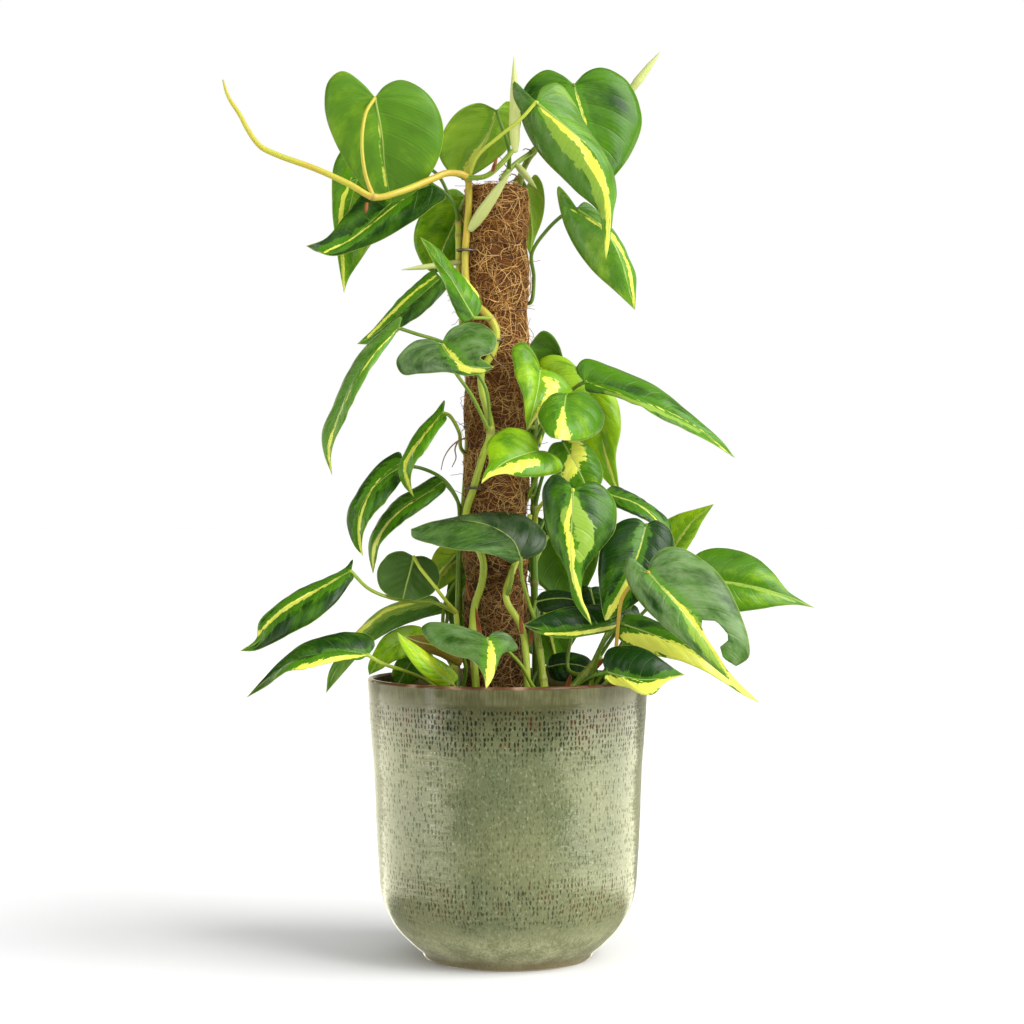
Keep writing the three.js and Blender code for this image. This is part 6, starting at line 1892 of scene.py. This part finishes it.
def wires(material):
    bend = [(-1, 1), (-1, 0.25), (-0.5, 0), (0.5, 0), (1, 0.25), (1, 1)]
    for name, (angle, row) in PINS.items():
        crown = hug(angle, row, PIN_CLEARANCE)
        inward = unit(np.array([POLE_X - crown[0], POLE_Y - crown[1], 0]))
        sideways = np.array([-inward[1], inward[0], 0])
        way = [crown + sideways * across * PIN_SPREAD + inward * deep * (PIN_CLEARANCE + PIN_DEPTH)
               for across, deep in bend]
        shape = Shape()
        tube(shape, Smooth(way).spaced(0.8), PIN_RADIUS, 12)
        shape.piece(f"wire_{name.split('_')[1]}", material, "wire", name)


# Build the plant

FAR_LOOKS = {name: far_look(leaf, number) for number, (name, leaf) in enumerate(FAR_BLADES.items())}
FAR_LOOKS["back_crown"] = dict(tone=0.95, brown_or_painted_sheen=-0.4)
ALL_LOOKS = {**LOOKS, **FAR_LOOKS}
ALL_BLADES = {**BLADES, **FAR_BLADES}
leaf_material = leaf_finish()
for index, (title, entry) in enumerate(ALL_BLADES.items()):
    replaced = f"vine_{entry['vine']}" if entry.get("fused") else f"leaf_{title}"
    blade(title, entry, ALL_LOOKS[title], index, leaf_material, replaced)
stems(stem_finish())
pot(pot_finish())
soil(soil_finish())
coir(coir_finish())
wires(wire_finish())
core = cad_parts["pole_core"]
core.data.materials.clear()
core.data.materials.append(wood_finish())


# Floor and light

WHITE = (1.0, 1.0, 1.0)
FLOOR_SIZE = 60
# The floor's near colour is painted shade, its far colour painted light
FLOOR_NEAR_PAINTED_SHADE = (0.78, 0.78, 0.78)
FLOOR_FAR_PAINTED_LIGHT = (0.95, 0.95, 0.95)
# Depths in millimetres between which the floor's colour turns, from darker near the plant, painted shade
# that deepens its cast shadow, to whiter far off, painted light that keeps the distant floor white
FLOOR_TURN = (-150.0, 600.0)
# Each sun: strength, angle in degrees and the place that it shines from
SUNS = {"key": (2.6, 40, (1.1, -0.42, 1.0)), "side": (0.9, 110, (1.0, 0.1, 0.8)),
        "fill": (0.9, 50, (-0.15, -1.0, 0.9))}
SUN_TARGET = (0, 0, 0.1)
# Each softbox: its place, its width and height in metres, and its watts
SOFTBOXES = {"softbox_right": ((1.1, -1.2, 0.9), (0.5, 1.4), 16),
             "softbox_left": ((-1.5, -0.7, 0.6), (0.3, 1.6), 7)}
SOFTBOX_TARGET = (0, 0, 0.15)
# The sky and its panels: two limits of the direction and the strengths there
SKY = (-0.62, -0.36, 0.10, 0.46)
PANEL_COLOUR = (1.0, 0.98, 0.74)
PANEL_LEAN = 2.3
PANEL_FRONT = (-0.18, -0.14, 0.0, 3.1)
PANEL_BACK = (0.45, 0.6, 1.0, 0.15)
PANEL_LEVEL = (0.2, 0.34, 1.0, 0.1)
PANEL_SIDES = (-0.3, 0.3, 0.4, 0.0)
BACK_LEAN = 3.0
BACK_LEVEL = 0.24
ROOM_DIM = 0.1


def aimed(thing, place, target):
    """Puts a thing at a place in metres, looking at a target."""
    thing.location = place
    gap = np.array(target, float) - np.array(place, float)
    flat = math.hypot(gap[0], gap[1])
    thing.rotation_euler = (math.atan2(flat, -gap[2]), 0, math.atan2(-gap[0], gap[1]))
    bpy.context.scene.collection.objects.link(thing)


floor_mesh = bpy.data.meshes.new("floor")
half_floor = FLOOR_SIZE / 2
floor_mesh.from_pydata([(-half_floor, -half_floor, 0), (half_floor, -half_floor, 0),
                        (half_floor, half_floor, 0), (-half_floor, half_floor, 0)], [], [(0, 1, 2, 3)])
floor = bpy.data.objects.new("floor", floor_mesh)
bpy.context.scene.collection.objects.link(floor)
floor_finish = Finish("floor_white", Roughness=0.8)
_, farther, _ = floor_finish.place()
turned_far = floor_finish.step(farther, *FLOOR_TURN)
floor_finish.set(Base_Color=floor_finish.mix(turned_far, FLOOR_NEAR_PAINTED_SHADE, FLOOR_FAR_PAINTED_LIGHT))
floor_mesh.materials.append(floor_finish.material)
floor.visible_glossy = False

world = bpy.data.worlds.new("studio")
bpy.context.scene.world = world
world.use_nodes = True
sky = Nodes(world.node_tree)
backdrop = sky.nodes["Background"]
ray = sky.nodes.new("ShaderNodeLightPath").outputs
east, north, upward = sky.axes(sky.nodes.new("ShaderNodeTexCoord").outputs["Generated"])

# The studio is dark in front of the plant, and bright above, beside and behind it. In the mirror of the
# glaze are a panel on each side, that leans outward below, and a dim room. The camera sees white.
depth = sky.between(north, *SKY)
ahead = sky.between(sky.math("MULTIPLY_ADD", upward, -PANEL_LEAN, north), *PANEL_FRONT)
leaning = sky.math("MULTIPLY_ADD", upward, BACK_LEAN, north)
right_back = sky.between(sky.plus(leaning, BACK_LEVEL), *PANEL_BACK)
behind = sky.math("MAXIMUM", right_back, sky.between(east, *PANEL_SIDES))
level = sky.between(sky.math("ABSOLUTE", upward), *PANEL_LEVEL)
panel = sky.plus(sky.times(sky.times(ahead, behind), level), ROOM_DIM)
strength = sky.blend(ray["Is Glossy Ray"], depth, panel)
sky.put(backdrop.inputs["Strength"], sky.blend(ray["Is Camera Ray"], strength, 1.0))
sky.put(backdrop.inputs["Color"], sky.mix(ray["Is Glossy Ray"], WHITE, PANEL_COLOUR))

for name, (strength, angle, place) in SUNS.items():
    sun = bpy.data.lights.new(name, "SUN")
    sun.energy = strength
    sun.angle = math.radians(angle)
    aimed(bpy.data.objects.new(name, sun), place, SUN_TARGET)

for name, (place, size, energy) in SOFTBOXES.items():
    lamp = bpy.data.lights.new(name, "AREA")
    lamp.shape = "RECTANGLE"
    lamp.size, lamp.size_y = size
    lamp.energy = energy
    aimed(bpy.data.objects.new(name, lamp), place, SOFTBOX_TARGET)

bpy.context.scene.view_settings.view_transform = "Standard"
